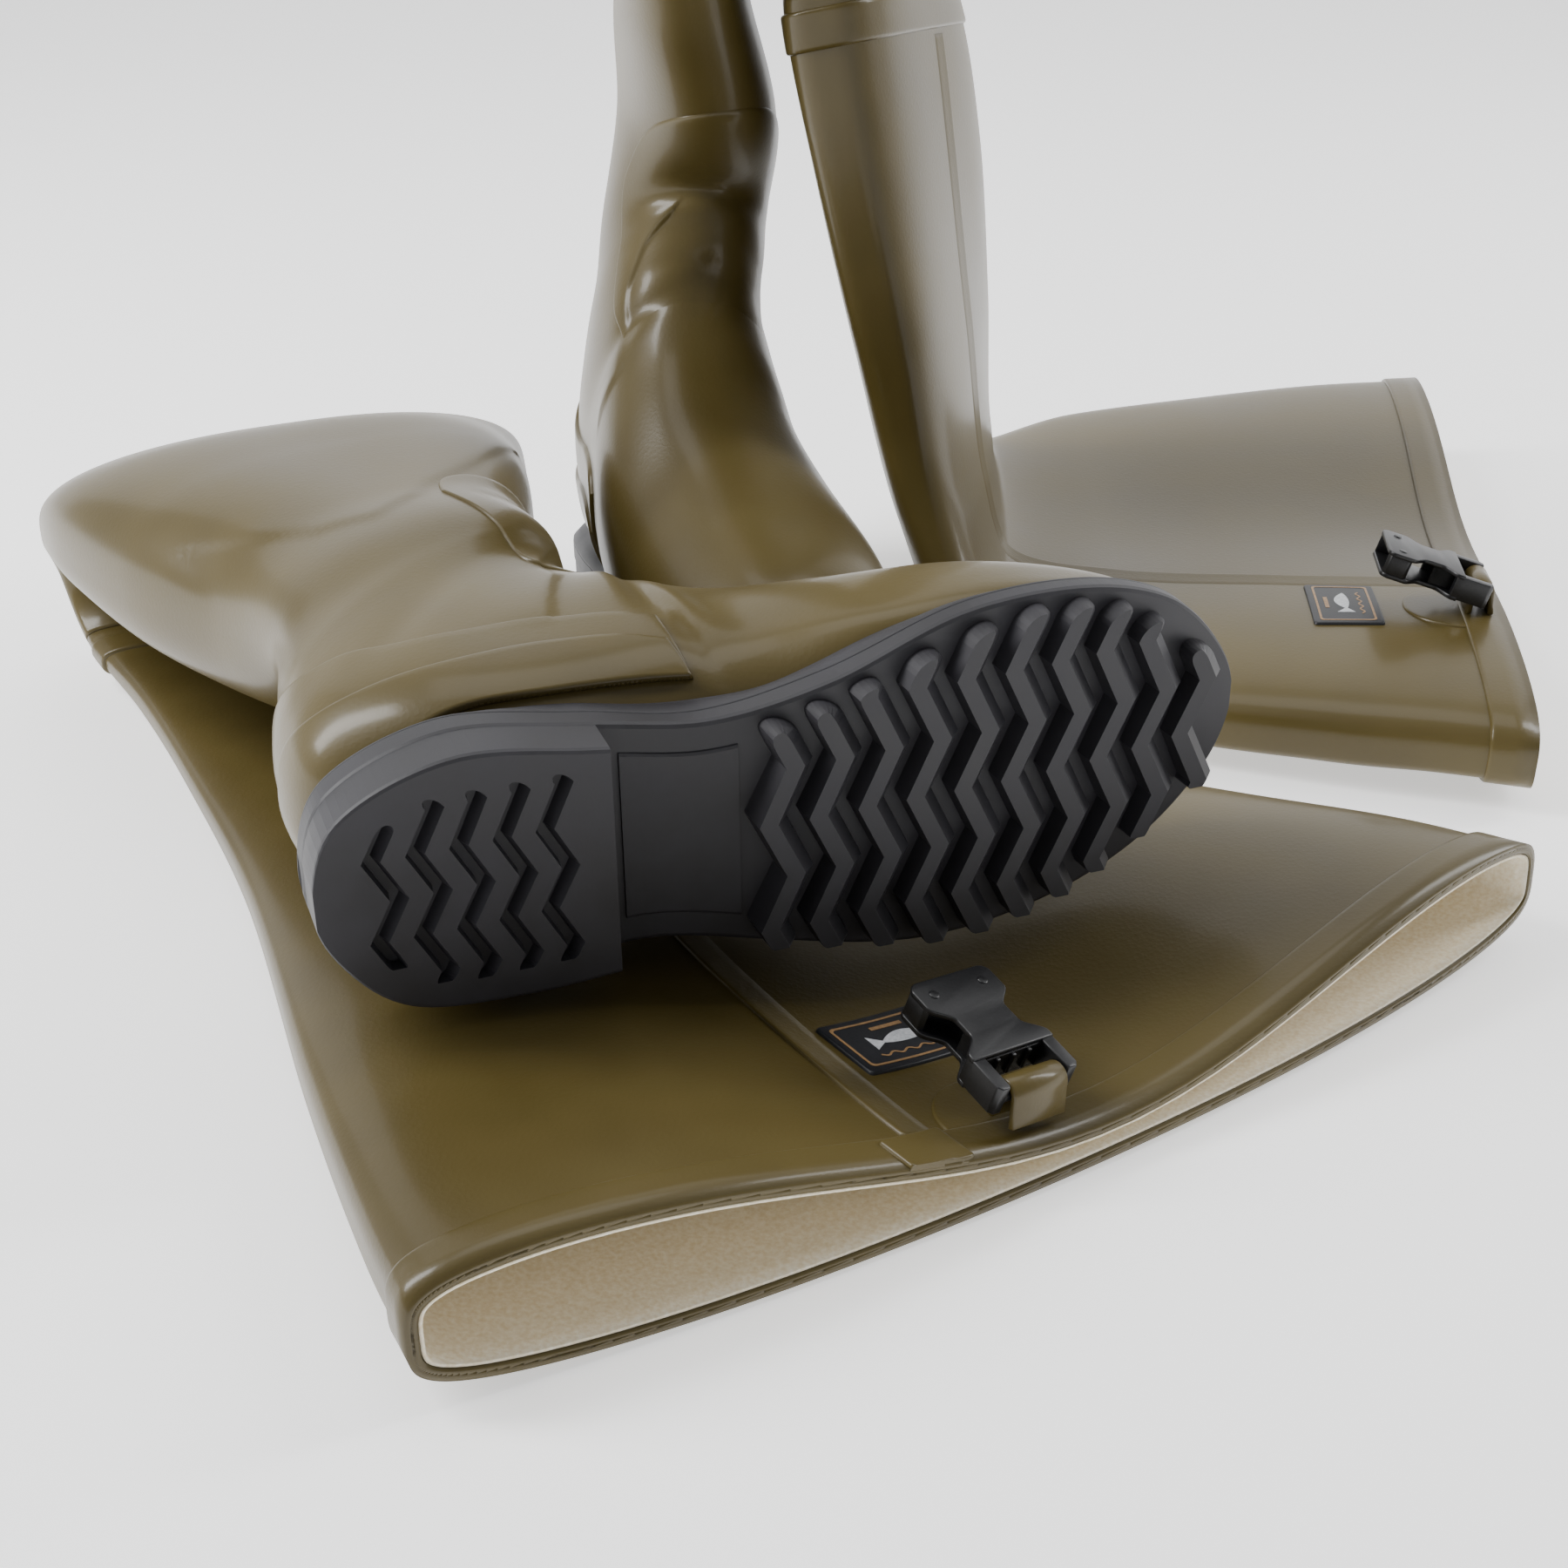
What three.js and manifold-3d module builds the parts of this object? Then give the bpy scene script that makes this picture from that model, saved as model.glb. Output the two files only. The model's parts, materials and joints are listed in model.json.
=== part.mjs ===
// A pair of rubber thigh waders: the left one lies folded at the knee with its boot on top of its own
// thigh tube, and the right one stands on its sole with the thigh tube bent over and down to the ground.
// Each wader is a boot (outsole, welt strip, foot upper and shaft) that carries on as a soft thigh tube,
// with a cotton lining, glued reinforcements, a bound top edge, a badge and a buckle on a rubber loop.
// Units are millimetres, +Z up. X runs across the pair, and Y runs from the folded wader to the standing
// one.

import * as THREE from "three";
import { mergeVertices } from "three/addons/utils/BufferGeometryUtils.js";
import Module from "manifold-3d";

// ---------------------------------------------------------------- driving dimensions
const RUBBER_WALL = 2.0; // wall of the foot, shaft and thigh tube
const LINING_WALL = 1.0; // cotton jersey bonded inside
const GLUE_GAP = 0.3; // clearance between two pieces that are glued face to face
const BUTT_GAP = 0.4; // clearance between two tube lengths that meet end to end
const PANEL_WALL = 1.4; // glued reinforcements and seam tapes
const BAND_WALL = 1.6; // binding round the top edge
const BAND_WIDTH = 17;
const KNEE_BAND_WIDTH = 16;
const SEAM_WIDTH = 12;

const SOLE_LENGTH = 296;
const HEEL_LENGTH = 86;
const LUG_DEPTH = 8; // tread height under the forefoot
const HEEL_GROOVE_DEPTH = 5;
const SOLE_PLATE = 7; // forefoot plate over the lugs
const WELT_HEIGHT = 8;
const WELT_WALL = 3.2;
const TOE_SPRING = 11; // the toe end lifts by this much
const SPRING_START = 205;

const FOOTBED_WALL = 4;
const FOOTBED_MARGIN = 24;
const FOOTBED_RISE = 6; // from the sole's outline to the footbed's edge

const BADGE_LENGTH = 44;
const BADGE_HEIGHT = 28;
const BADGE_WALL = 1.0;
const BADGE_TO_EDGE = 60; // badge centre to the tube's top edge

const BUCKLE_LENGTH = 44;
const BUCKLE_WIDTH = 31;
const BUCKLE_WALL = 1.8;
const BUCKLE_THICK = 11;
const BUCKLE_WAIST = 19;
const STRAP_WIDTH = 21;
const STRAP_WALL = 2.2;
const BAR_RADIUS = 2.2;
const BAR_HEIGHT = 9; // bar axis above the patch under it
const LOOP_CLEARANCE = 0.4; // rubber loop to the buckle's bar
const BUCKLE_TILT = 16; // degrees the loop holds the buckle off the tube
const PATCH_RADIUS = 22;
const BUCKLE_TO_EDGE = 11; // bar axis to the tube's top edge
const BADGE_FROM_SEAM = 0.15; // across the flattened tube, whose half width counts as 1

const RING = 16; // points round each tube

const OLIVE = { color: 0x5f5228, roughness: 0.38, metalness: 0 };
const BLACK_RUBBER = { color: 0x2b2a2c, roughness: 0.6, metalness: 0 };
const COTTON = { color: 0xefe6cf, roughness: 0.95, metalness: 0 };
const BOARD = { color: 0xb9a27c, roughness: 0.9, metalness: 0 };
const BLACK_ACETAL = { color: 0x1c1b1b, roughness: 0.35, metalness: 0 };
const BLACK_VINYL = { color: 0x17181b, roughness: 0.45, metalness: 0 };

// ---------------------------------------------------------------- small helpers
const V = (x, y, z) => new THREE.Vector3(x, y, z);
const deg = THREE.MathUtils.degToRad;
const group = new THREE.Group();

function addMesh(name, geometry, finish) {
  const mesh = new THREE.Mesh(geometry, new THREE.MeshStandardMaterial(finish));
  mesh.name = name;
  group.add(mesh);
  return mesh;
}

// A geometry from points and index triples.
function geometryOf(points, faces) {
  const position = new Float32Array(points.length * 3);
  points.forEach((p, i) => p.toArray(position, i * 3));
  return new THREE.BufferGeometry()
    .setAttribute("position", new THREE.BufferAttribute(position, 3))
    .setIndex(faces.flat());
}

// Two triangles for the quad a b c d.
const quad = (a, b, c, d) => [[a, b, c], [a, c, d]];

// A closed shell between an outer and an inner stack of rings, open at both ends of the tube.
// With closedStart, the first ring of each stack is closed by a fan, as at a toe.
function shellOf(outer, inner, closedStart = false) {
  const n = outer[0].length;
  const points = [...outer.flat(), ...inner.flat()];
  const last = outer.length - 1;
  const base = outer.length * n;
  const faces = [];
  for (let i = 0; i < last; i++)
    for (let j = 0; j < n; j++) {
      const k = (j + 1) % n;
      const a = i * n;
      const b = a + n;
      faces.push(...quad(a + j, a + k, b + k, b + j));
      faces.push(...quad(base + a + j, base + b + j, base + b + k, base + a + k));
    }
  for (let j = 0; j < n; j++) {
    const k = (j + 1) % n;
    const t = last * n;
    faces.push(...quad(t + j, t + k, base + t + k, base + t + j));
    if (!closedStart) faces.push(...quad(j, base + j, base + k, k));
  }
  if (closedStart)
    for (const [start, flip] of [[0, false], [base, true]]) {
      const centre = points.length;
      const ring = points.slice(start, start + n);
      points.push(ring.reduce((s, p) => s.add(p), V(0, 0, 0)).divideScalar(n));
      for (let j = 0; j < n; j++) {
        const k = (j + 1) % n;
        faces.push(flip ? [centre, start + j, start + k] : [centre, start + k, start + j]);
      }
    }
  return geometryOf(points, faces);
}

// A closed plate between a top and a bottom grid of points.
function plateOf(top, bottom) {
  const rows = top.length;
  const cols = top[0].length;
  const base = rows * cols;
  const points = [...top.flat(), ...bottom.flat()];
  const at = (i, j) => i * cols + j;
  const faces = [];
  for (let i = 0; i < rows - 1; i++)
    for (let j = 0; j < cols - 1; j++) {
      const [a, b, c, d] = [at(i, j), at(i + 1, j), at(i + 1, j + 1), at(i, j + 1)];
      faces.push(...quad(a, d, c, b));
      faces.push(...quad(base + a, base + b, base + c, base + d));
    }
  const rim = [];
  for (let j = 0; j < cols; j++) rim.push(at(0, j));
  for (let i = 1; i < rows; i++) rim.push(at(i, cols - 1));
  for (let j = cols - 2; j >= 0; j--) rim.push(at(rows - 1, j));
  for (let i = rows - 2; i > 0; i--) rim.push(at(i, 0));
  rim.forEach((a, i) => {
    const b = rim[(i + 1) % rim.length];
    faces.push(...quad(base + a, base + b, b, a));
  });
  return geometryOf(points, faces);
}

// A loft through rings of equal length, closed by a fan at both ends.
function solidLoft(rings) {
  const n = rings[0].length;
  const points = rings.flat();
  const faces = [];
  for (let i = 0; i < rings.length - 1; i++)
    for (let j = 0; j < n; j++) {
      const k = (j + 1) % n;
      const a = i * n;
      const b = a + n;
      faces.push(...quad(a + j, a + k, b + k, b + j));
    }
  for (const [ring, flip] of [[0, true], [rings.length - 1, false]]) {
    const start = ring * n;
    for (let j = 1; j < n - 1; j++)
      faces.push(flip ? [start, start + j + 1, start + j] : [start, start + j, start + j + 1]);
  }
  return geometryOf(points, faces);
}

// ---------------------------------------------------------------- solids for cutting and joining
const wasm = await Module();
wasm.setup();

function solid(geometry) {
  const bare = geometry.clone();
  bare.deleteAttribute("normal");
  bare.deleteAttribute("uv");
  const merged = mergeVertices(bare, 1e-4);
  const mesh = new wasm.Mesh({
    numProp: 3,
    vertProperties: new Float32Array(merged.attributes.position.array),
    triVerts: new Uint32Array(merged.index.array),
  });
  return new wasm.Manifold(mesh);
}

function geometryFrom(manifold) {
  const mesh = manifold.getMesh();
  const position = new Float32Array(mesh.numVert * 3);
  for (let i = 0; i < mesh.numVert; i++)
    position.set(mesh.vertProperties.subarray(i * mesh.numProp, i * mesh.numProp + 3), i * 3);
  return new THREE.BufferGeometry()
    .setAttribute("position", new THREE.BufferAttribute(position, 3))
    .setIndex(new THREE.BufferAttribute(new Uint32Array(mesh.triVerts), 1));
}

// ---------------------------------------------------------------- the skin of a wader
// A station is one cross-section: its back edge, its front edge, its half thickness on the plus and
// minus sides, where between the edges it is thickest (split), how square its back and front halves
// are, how far, where and how broadly its outer side is pressed in, and how far its middle bows on
// towards the tube's top edge.
function station(back, front, plus, minus, options = {}) {
  const plain = {
    split: 0.5, backPower: 3, frontPower: 3, press: 0, pressAt: 0, pressSpread: 0.45, bow: 0,
  };
  return { back, front, plus, minus, ...plain, ...options };
}

const AHEAD = 0.45; // how far each way along the stations a section's facing is averaged

function makeSkin(stations, pressedSide) {
  const curve = (pick, type) => new THREE.CatmullRomCurve3(stations.map(pick), false, type);
  const back = curve((s) => s.back, "catmullrom");
  const front = curve((s) => s.front, "catmullrom");
  const sizes = curve((s) => V(s.plus, s.minus, s.split), "catmullrom");
  const squareness = curve((s) => V(s.backPower, s.frontPower, s.bow), "catmullrom");
  const pressing = curve((s) => V(s.press, s.pressAt, s.pressSpread), "catmullrom");
  const last = stations.length - 1;
  const limit = (u) => Math.min(Math.max(u / last, 0), 1);

  function section(u) {
    const t = limit(u);
    const [a, b] = [back.getPoint(t), front.getPoint(t)];
    const [t0, t1] = [limit(u - AHEAD), limit(u + AHEAD)];
    const middleAt = (w) => back.getPoint(w).add(front.getPoint(w));
    const along = middleAt(t1).sub(middleAt(t0)).normalize();
    const side = along.clone().cross(b.clone().sub(a)).normalize();
    const [plus, minus, split] = sizes.getPoint(t).toArray();
    const [backPower, frontPower, bow] = squareness.getPoint(t).toArray();
    const [press, pressAt, pressSpread] = pressing.getPoint(t).toArray();
    const middle = a.clone().lerp(b, split);
    const facing = { along, side, bow: along.clone().multiplyScalar(bow) };
    return { a, b, plus, minus, backPower, frontPower, press, pressAt, pressSpread, middle, ...facing };
  }

  // angle 0 is the front edge, 90 degrees the plus side, 180 the back edge.
  function point(u, angle) {
    const s = section(u);
    const q = Math.cos(angle);
    const power = q < 0 ? s.backPower : s.frontPower;
    const rise = Math.pow(Math.max(1 - Math.pow(Math.abs(q), power), 0), 1 / power);
    const up = Math.sin(angle) >= 0 ? 1 : -1;
    const bell = Math.exp(-(((q - s.pressAt) / s.pressSpread) ** 2)) * Math.min(rise * 1.3, 1);
    const height = (up > 0 ? s.plus : s.minus) * rise - (up === pressedSide ? s.press * bell : 0);
    const edge = q < 0 ? s.a : s.b;
    const flat = s.middle.clone().lerp(edge, Math.abs(q)).addScaledVector(s.bow, 1 - q * q);
    return flat.addScaledVector(s.side, up * height);
  }

  function normal(u, angle) {
    const d = 0.02;
    const du = point(Math.min(u + d, last), angle).sub(point(Math.max(u - d, 0), angle));
    const da = point(u, angle + d).sub(point(u, angle - d));
    return da.cross(du).normalize();
  }

  const offset = (u, angle, out) => point(u, angle).addScaledVector(normal(u, angle), out);
  const ring = (u, out) =>
    Array.from({ length: RING }, (_, j) => offset(u, (2 * Math.PI * j) / RING, out));
  // The step in u that moves the point at an angle by a distance.
  const stepFor = (u, angle, distance) => {
    const [u0, u1] = [Math.max(u - 0.05, 0), Math.min(u + 0.05, last)];
    return (distance * (u1 - u0)) / point(u0, angle).distanceTo(point(u1, angle));
  };
  return { point, normal, offset, ring, stepFor, last };
}

// Evenly spaced values from a to b.
const spread = (a, b, count) => Array.from({ length: count + 1 }, (_, i) => a + ((b - a) * i) / count);

// A tube length of the skin between two depths under its face, with a ring at each of the given
// places. With a toe wall, its first ring is closed and the inside starts that much later.
function tubeLength(skin, places, outside, inside, toeWall = 0) {
  const outer = places.map((u) => skin.ring(u, -outside));
  const inner = places.map((u, i) => skin.ring(i ? u : u + toeWall, -inside));
  return shellOf(outer, inner, toeWall > 0);
}

// ---------------------------------------------------------------- laying one piece on another
const caster = new THREE.Raycaster();

const LAY_REACH = 8; // how far off the true skin the facets may lie
const POKE_REACH = 4; // how far a facet may stand out between a plate's own points

// How far above (or below) a point the targets' outer face lies, along the way out.
function faceHeight(targets, point, out, reach = LAY_REACH) {
  caster.set(point.clone().addScaledVector(out, reach), out.clone().negate());
  caster.far = 2 * reach;
  const heights = caster.intersectObjects(targets, false).map((hit) => reach - hit.distance);
  return heights.length ? heights.reduce((a, b) => (Math.abs(b) < Math.abs(a) ? b : a)) : 0;
}

// How far the targets' folds would poke through a grid of points between its own points.
function pokeThrough(targets, cells) {
  let poke = 0;
  for (let i = 0; i < cells.length - 1; i++)
    for (let j = 0; j < cells[0].length - 1; j++)
      for (const f of [0, 0.25, 0.5, 0.75, 1])
        for (const g of [0, 0.25, 0.5, 0.75, 1]) {
          const low = cells[i][j].point.clone().lerp(cells[i][j + 1].point, g);
          const high = cells[i + 1][j].point.clone().lerp(cells[i + 1][j + 1].point, g);
          poke = Math.max(poke, faceHeight(targets, low.lerp(high, f), cells[i][j].out, POKE_REACH));
        }
  return poke;
}

// A plate that lies on the targets: place(t, s) gives a point and its way out, for t, s from 0 to 1.
function laidPlate(targets, place, rows, cols, wall = PANEL_WALL, gap = GLUE_GAP) {
  const lay = (t, s) => {
    const { point, out } = place(t, s);
    return { point: point.clone().addScaledVector(out, faceHeight(targets, point, out)), out };
  };
  let cells = spread(0, 1, rows).map((t) => spread(0, 1, cols).map((s) => lay(t, s)));
  const [a, b, c] = [cells[0][0], cells[1][0], cells[0][1]];
  const facing = c.point.clone().sub(a.point).cross(b.point.clone().sub(a.point));
  if (facing.dot(a.out) < 0) cells = cells.map((row) => row.reverse());
  const poke = 0.1 + pokeThrough(targets, cells);
  const grid = (lift) =>
    cells.map((row) => row.map(({ point, out }) => point.clone().addScaledVector(out, lift)));
  return plateOf(grid(gap + poke + wall), grid(gap + poke));
}

// A panel over the skin; edge(t, s) gives its [u, angle].
const panelOf = (targets, skin, edge, rows, cols, wall, gap) =>
  laidPlate(
    targets,
    (t, s) => ({ point: skin.point(...edge(t, s)), out: skin.normal(...edge(t, s)) }),
    rows, cols, wall, gap,
  );

// A closed band round the tube, laid on the targets.
function bandOf(targets, skin, from, to, rows, wall, gap = GLUE_GAP) {
  const cells = spread(from, to, rows).map((u) =>
    Array.from({ length: RING + 1 }, (_, j) => {
      const angle = (2 * Math.PI * j) / RING;
      const [point, out] = [skin.point(u, angle), skin.normal(u, angle)];
      return { point: point.addScaledVector(out, faceHeight(targets, point, out)), out };
    }),
  );
  const lift = gap + 0.2 + pokeThrough(targets, cells);
  const lifted = (row, height) => row.map(({ point, out }) => point.clone().addScaledVector(out, height));
  const rings = (height) => cells.map((row) => lifted(row.slice(0, RING), height));
  return shellOf(rings(lift + wall), rings(lift));
}

// ---------------------------------------------------------------- the sole
// The sole's outline for a boot whose inner side is +Y: heel at x = 0, toe at x = SOLE_LENGTH.
const SOLE_OUTLINE = [
  [0, 2], [9, 27.5], [42, 41], [82, 36], [118, 31], [155, 39], [197, 54], [236, 55], [268, 44.5], [289, 24],
  [SOLE_LENGTH, 4], [288, -18], [262, -39], [225, -52], [185, -56], [140, -47.5], [100, -40], [60, -41],
  [25, -37], [6, -19],
];
const outlineCurve = new THREE.CatmullRomCurve3(
  SOLE_OUTLINE.map(([x, y]) => V(x, y, 0)), true, "centripetal",
);
const outlinePoints = outlineCurve.getPoints(120);

// How far the outline reaches on the inner (+1) or outer (-1) side at x, less a margin.
function halfWidth(x, side, margin = 0) {
  let reach = 0;
  for (let i = 0; i < outlinePoints.length - 1; i++) {
    const [p, q] = [outlinePoints[i], outlinePoints[i + 1]];
    if ((p.x - x) * (q.x - x) > 0 || p.x === q.x) continue;
    const y = p.y + ((q.y - p.y) * (x - p.x)) / (q.x - p.x);
    if (y * side > reach) reach = y * side;
  }
  return reach - margin;
}

const toeSpring = (x) => TOE_SPRING * Math.max((x - SPRING_START) / (SOLE_LENGTH - SPRING_START), 0) ** 2;
// The underside of the plate: deep over the waist, level over the forefoot lugs.
const plateBottom = (x) => LUG_DEPTH + 7 * THREE.MathUtils.smoothstep(-x, -165, -95) + toeSpring(x);
const plateTop = (x) =>
  LUG_DEPTH + SOLE_PLATE + 9 * THREE.MathUtils.smoothstep(-x, -190, -70) + toeSpring(x);

const SOLE_STATIONS = [
  1.2, 5, 14, 30, 55, HEEL_LENGTH, 105, 130, 155, 180, 205, 230, 250, 266, 280, 289, 294.8,
];

// A slab across the boot at the given stations, between two height functions.
function soleSlab(stations, side, margin, bottom, top) {
  const rings = stations.map((x) => {
    const [inner, outer] = [halfWidth(x, 1, margin), -halfWidth(x, -1, margin)];
    const across = [0, 0.5, 1].map((t) => outer + (inner - outer) * t);
    const low = across.map((y) => V(x, y * side, bottom(x)));
    const high = across.reverse().map((y) => V(x, y * side, top(x)));
    return [...low, ...high];
  });
  if (side < 0) rings.forEach((r) => r.reverse());
  return solidLoft(rings);
}

// A zigzag bar across the sole at x: it swings that far each way once every zig across, out to reach
// on both sides, and stands from bottom to top. With a start of 1 it swings the other way first.
function zigzagBar(x, { width, swing, zig, reach, bottom, top, start = 0 }) {
  const turns = spread(-reach, reach, Math.round((2 * reach) / zig));
  const line = turns.map((y, i) => new THREE.Vector2(x + ((i + start) % 2 ? swing : -swing), y));
  const edge = (shift) => line.map((p) => new THREE.Vector2(p.x + shift, p.y));
  const shape = new THREE.Shape([...edge(-width / 2), ...edge(width / 2).reverse()]);
  const bar = new THREE.ExtrudeGeometry(shape, { depth: top - bottom, bevelEnabled: false });
  return bar.translate(0, 0, bottom);
}

const LUG_PITCH = 15.4;
const LUG_FIRST = 138;
const LUG_COUNT = 10;
const LUG_MARGIN = 3.5; // bare rim outside the lugs
const LUG_ZONE_START = 122;
const LUG_ZONE_END = 292;
const LUG_BAR = { width: 9.4, swing: 4.2, zig: 18, reach: 54, bottom: -1, top: 38 };
const GROOVE_PITCH = 13.5;
const GROOVE_FIRST = 26;
const GROOVE_COUNT = 4;
const GROOVE = { width: 5, swing: 3.2, zig: 13, reach: 26, bottom: -1, top: HEEL_GROOVE_DEPTH, start: 1 };
const HEEL_INSET = 0.6; // the heel block's sides lie this far inside the plate's
const SUNK = 2; // how deep a joined part reaches into the body under it

function outsoleGeometry(side) {
  let body = solid(soleSlab(SOLE_STATIONS, side, 0, plateBottom, plateTop));
  const heelStations = SOLE_STATIONS.filter((x) => x <= HEEL_LENGTH);
  const heel = soleSlab(heelStations, side, HEEL_INSET, () => 0, (x) => plateTop(x) - SUNK);
  body = body.add(solid(heel));
  const inZone = SOLE_STATIONS.filter((x) => x > LUG_ZONE_START && x < LUG_ZONE_END);
  const treadStations = [LUG_ZONE_START, ...inZone];
  const zone = solid(soleSlab(treadStations, side, LUG_MARGIN, toeSpring, (x) => plateBottom(x) + SUNK));
  for (let i = 0; i < LUG_COUNT; i++)
    body = body.add(solid(zigzagBar(LUG_FIRST + i * LUG_PITCH, LUG_BAR)).intersect(zone));
  for (let i = 0; i < GROOVE_COUNT; i++)
    body = body.subtract(solid(zigzagBar(GROOVE_FIRST + i * GROOVE_PITCH, GROOVE)));
  return geometryFrom(body);
}

// The welt: a strip that stands on the plate's rim, all round the foot.
function weltGeometry(side) {
  const count = 34;
  const around = outlineCurve.getSpacedPoints(count).slice(0, count);
  const centre = V(SOLE_LENGTH / 2, 0, 0);
  const rim = (margin, lift) =>
    around.map((p, i) => {
      const ahead = around[(i + 1) % count];
      const behind = around[(i + count - 1) % count];
      const out = ahead.clone().sub(behind).normalize().cross(V(0, 0, 1));
      if (out.dot(p.clone().sub(centre)) < 0) out.negate();
      const q = p.clone().addScaledVector(out, -margin);
      const x = THREE.MathUtils.clamp(q.x, 0, SOLE_LENGTH);
      return V(q.x, q.y * side, plateTop(x) + GLUE_GAP + lift);
    });
  const stack = (margin) => [rim(margin, 0), rim(margin, WELT_HEIGHT)];
  const [outer, inner] = [stack(0.4), stack(WELT_WALL)];
  if (side > 0) [...outer, ...inner].forEach((r) => r.reverse());
  return shellOf(outer, inner);
}

// ---------------------------------------------------------------- the boot's cross-sections
// In the boot's own frame: x from heel to toe, z up the shaft, and the sections turn from upright
// ones at the toe to level ones in the shaft. Columns: back x, back z, front x, front z, sideways
// shift towards the inner side, split, half width, back power, front power.
const FOOT_SECTIONS = [
  [287, 30, 287.5, 40, 4, 0.4, 12, 2.2, 2.2],
  [281, 26.5, 279, 54, 4, 0.38, 26, 2.8, 2.2],
  [263, 22.5, 258, 70, 3.6, 0.35, 38, 3.6, 2.2],
  [226, 18.5, 218, 84, 1.7, 0.32, 48.5, 4, 2.2],
  [186, 17.5, 176, 102, -1, 0.3, 49.5, 4, 2.1],
  [143, 20.5, 146, 122, -4, 0.36, 44.5, 3, 2.3],
  [98, 25, 129, 138, -1.5, 0.4, 42, 3, 2.3],
  [50, 26.5, 121, 150, 1.5, 0.42, 40.5, 3.6, 2.2],
  [12, 44, 118, 160, 3, 0.44, 39, 2.7, 2.1],
  [5, 78, 118, 170, 5, 0.46, 36, 2.4, 2.1],
  [10, 115, 119, 181, 8, 0.47, 34, 2.2, 2.1],
  [14, 150, 120, 194, 10, 0.48, 33, 2.1, 2.1],
];
const ANKLE = FOOT_SECTIONS.length - 1; // the foot upper ends and the shaft starts here

function footStations(place, side) {
  return FOOT_SECTIONS.map(([bx, bz, fx, fz, shift, split, half, bp, fp]) =>
    station(place(V(bx, shift * side, bz)), place(V(fx, shift * side, fz)), half, half, {
      split, backPower: bp, frontPower: fp,
    }),
  );
}

// A boot's frame from its heel corner, its toe direction and its shaft direction.
function bootFrame(origin, toeward, shaftward) {
  const x = toeward.clone().normalize();
  const y = shaftward.clone().cross(x).normalize();
  const z = x.clone().cross(y);
  const matrix = new THREE.Matrix4().makeBasis(x, y, z).setPosition(origin);
  return { matrix, place: (p) => p.clone().applyMatrix4(matrix) };
}

// ---------------------------------------------------------------- pieces on the thigh tube
// A frame on the skin: +X towards the boot, +Z out of the skin.
function skinFrame(skin, u, angle) {
  const out = skin.normal(u, angle);
  const toBoot = skin.point(u - 0.1, angle).sub(skin.point(Math.min(u + 0.1, skin.last), angle));
  toBoot.addScaledVector(out, -toBoot.dot(out)).normalize();
  const turned = new THREE.Matrix4().makeBasis(toBoot, out.clone().cross(toBoot), out);
  return turned.setPosition(skin.point(u, angle));
}

// A plate laid on the targets from a frame; shape(t, s) gives its [x, y] in the frame.
function plateFrom(targets, frame, shape, rows, cols, wall, gap) {
  const out = V(0, 0, 1).transformDirection(frame);
  return laidPlate(
    targets,
    (t, s) => ({ point: V(...shape(t, s), 0).applyMatrix4(frame), out }),
    rows, cols, wall, gap,
  );
}

// The same frame lifted until a footprint of half lengths x and y rests on the targets.
function restingFrame(targets, frame, x, y) {
  const out = V(0, 0, 1).transformDirection(frame);
  const heights = spread(-x, x, 4).flatMap((a) =>
    spread(-y, y, 8).map((b) => faceHeight(targets, V(a, b, 0).applyMatrix4(frame), out)),
  );
  return frame.clone().multiply(new THREE.Matrix4().makeTranslation(0, 0, Math.max(...heights)));
}

function block(x0, x1, y0, y1, z0, z1) {
  const box = new THREE.BoxGeometry(x1 - x0, y1 - y0, z1 - z0);
  return solid(box.translate((x0 + x1) / 2, (y0 + y1) / 2, (z0 + z1) / 2));
}

// The buckle's socket half, lying along +X from its bar at the origin, with its mouth at the far end.
function buckleGeometry() {
  const half = BUCKLE_WIDTH / 2;
  const waist = BUCKLE_WAIST / 2;
  const end = BUCKLE_LENGTH - BAR_RADIUS;
  const outline = [
    [-BAR_RADIUS, half - 2], [0, half], [12, half], [15, half - 1.5], [19, waist + 1], [26, waist],
    [30, waist + 2.5], [33, half - 1], [end - 1, half - 0.5], [end, half - 2],
  ];
  const shape = new THREE.Shape([
    ...outline.map(([x, y]) => new THREE.Vector2(x, -y)),
    ...outline.reverse().map(([x, y]) => new THREE.Vector2(x, y)),
  ]);
  const housing = new THREE.ExtrudeGeometry(shape, { depth: BUCKLE_THICK, bevelEnabled: false });
  let body = solid(housing.translate(0, 0, -BUCKLE_THICK / 2));
  const inner = STRAP_WIDTH / 2 + 1;
  const roof = BUCKLE_THICK / 2 - BUCKLE_WALL;
  const windowEnd = BAR_RADIUS + 7.5;
  body = body.subtract(block(-BAR_RADIUS - 1, windowEnd, -inner, inner, -BUCKLE_THICK, BUCKLE_THICK));
  body = body.subtract(block(windowEnd + BUCKLE_WALL, end + 1, -waist + 2, waist - 2, -roof, roof));
  body = body.subtract(block(17, 31, -half - 1, half + 1, -roof, roof));
  body = body.subtract(block(31 - 0.5, end + 1, -half + 2, half - 2, -roof, roof));
  const rib = block(windowEnd, end - 4, -1, 1, -roof - 0.5, -roof + 1.2);
  const bar = new THREE.CylinderGeometry(BAR_RADIUS, BAR_RADIUS, BUCKLE_WIDTH - 4, 16);
  return geometryFrom(body.add(rib).add(solid(bar)));
}

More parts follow.
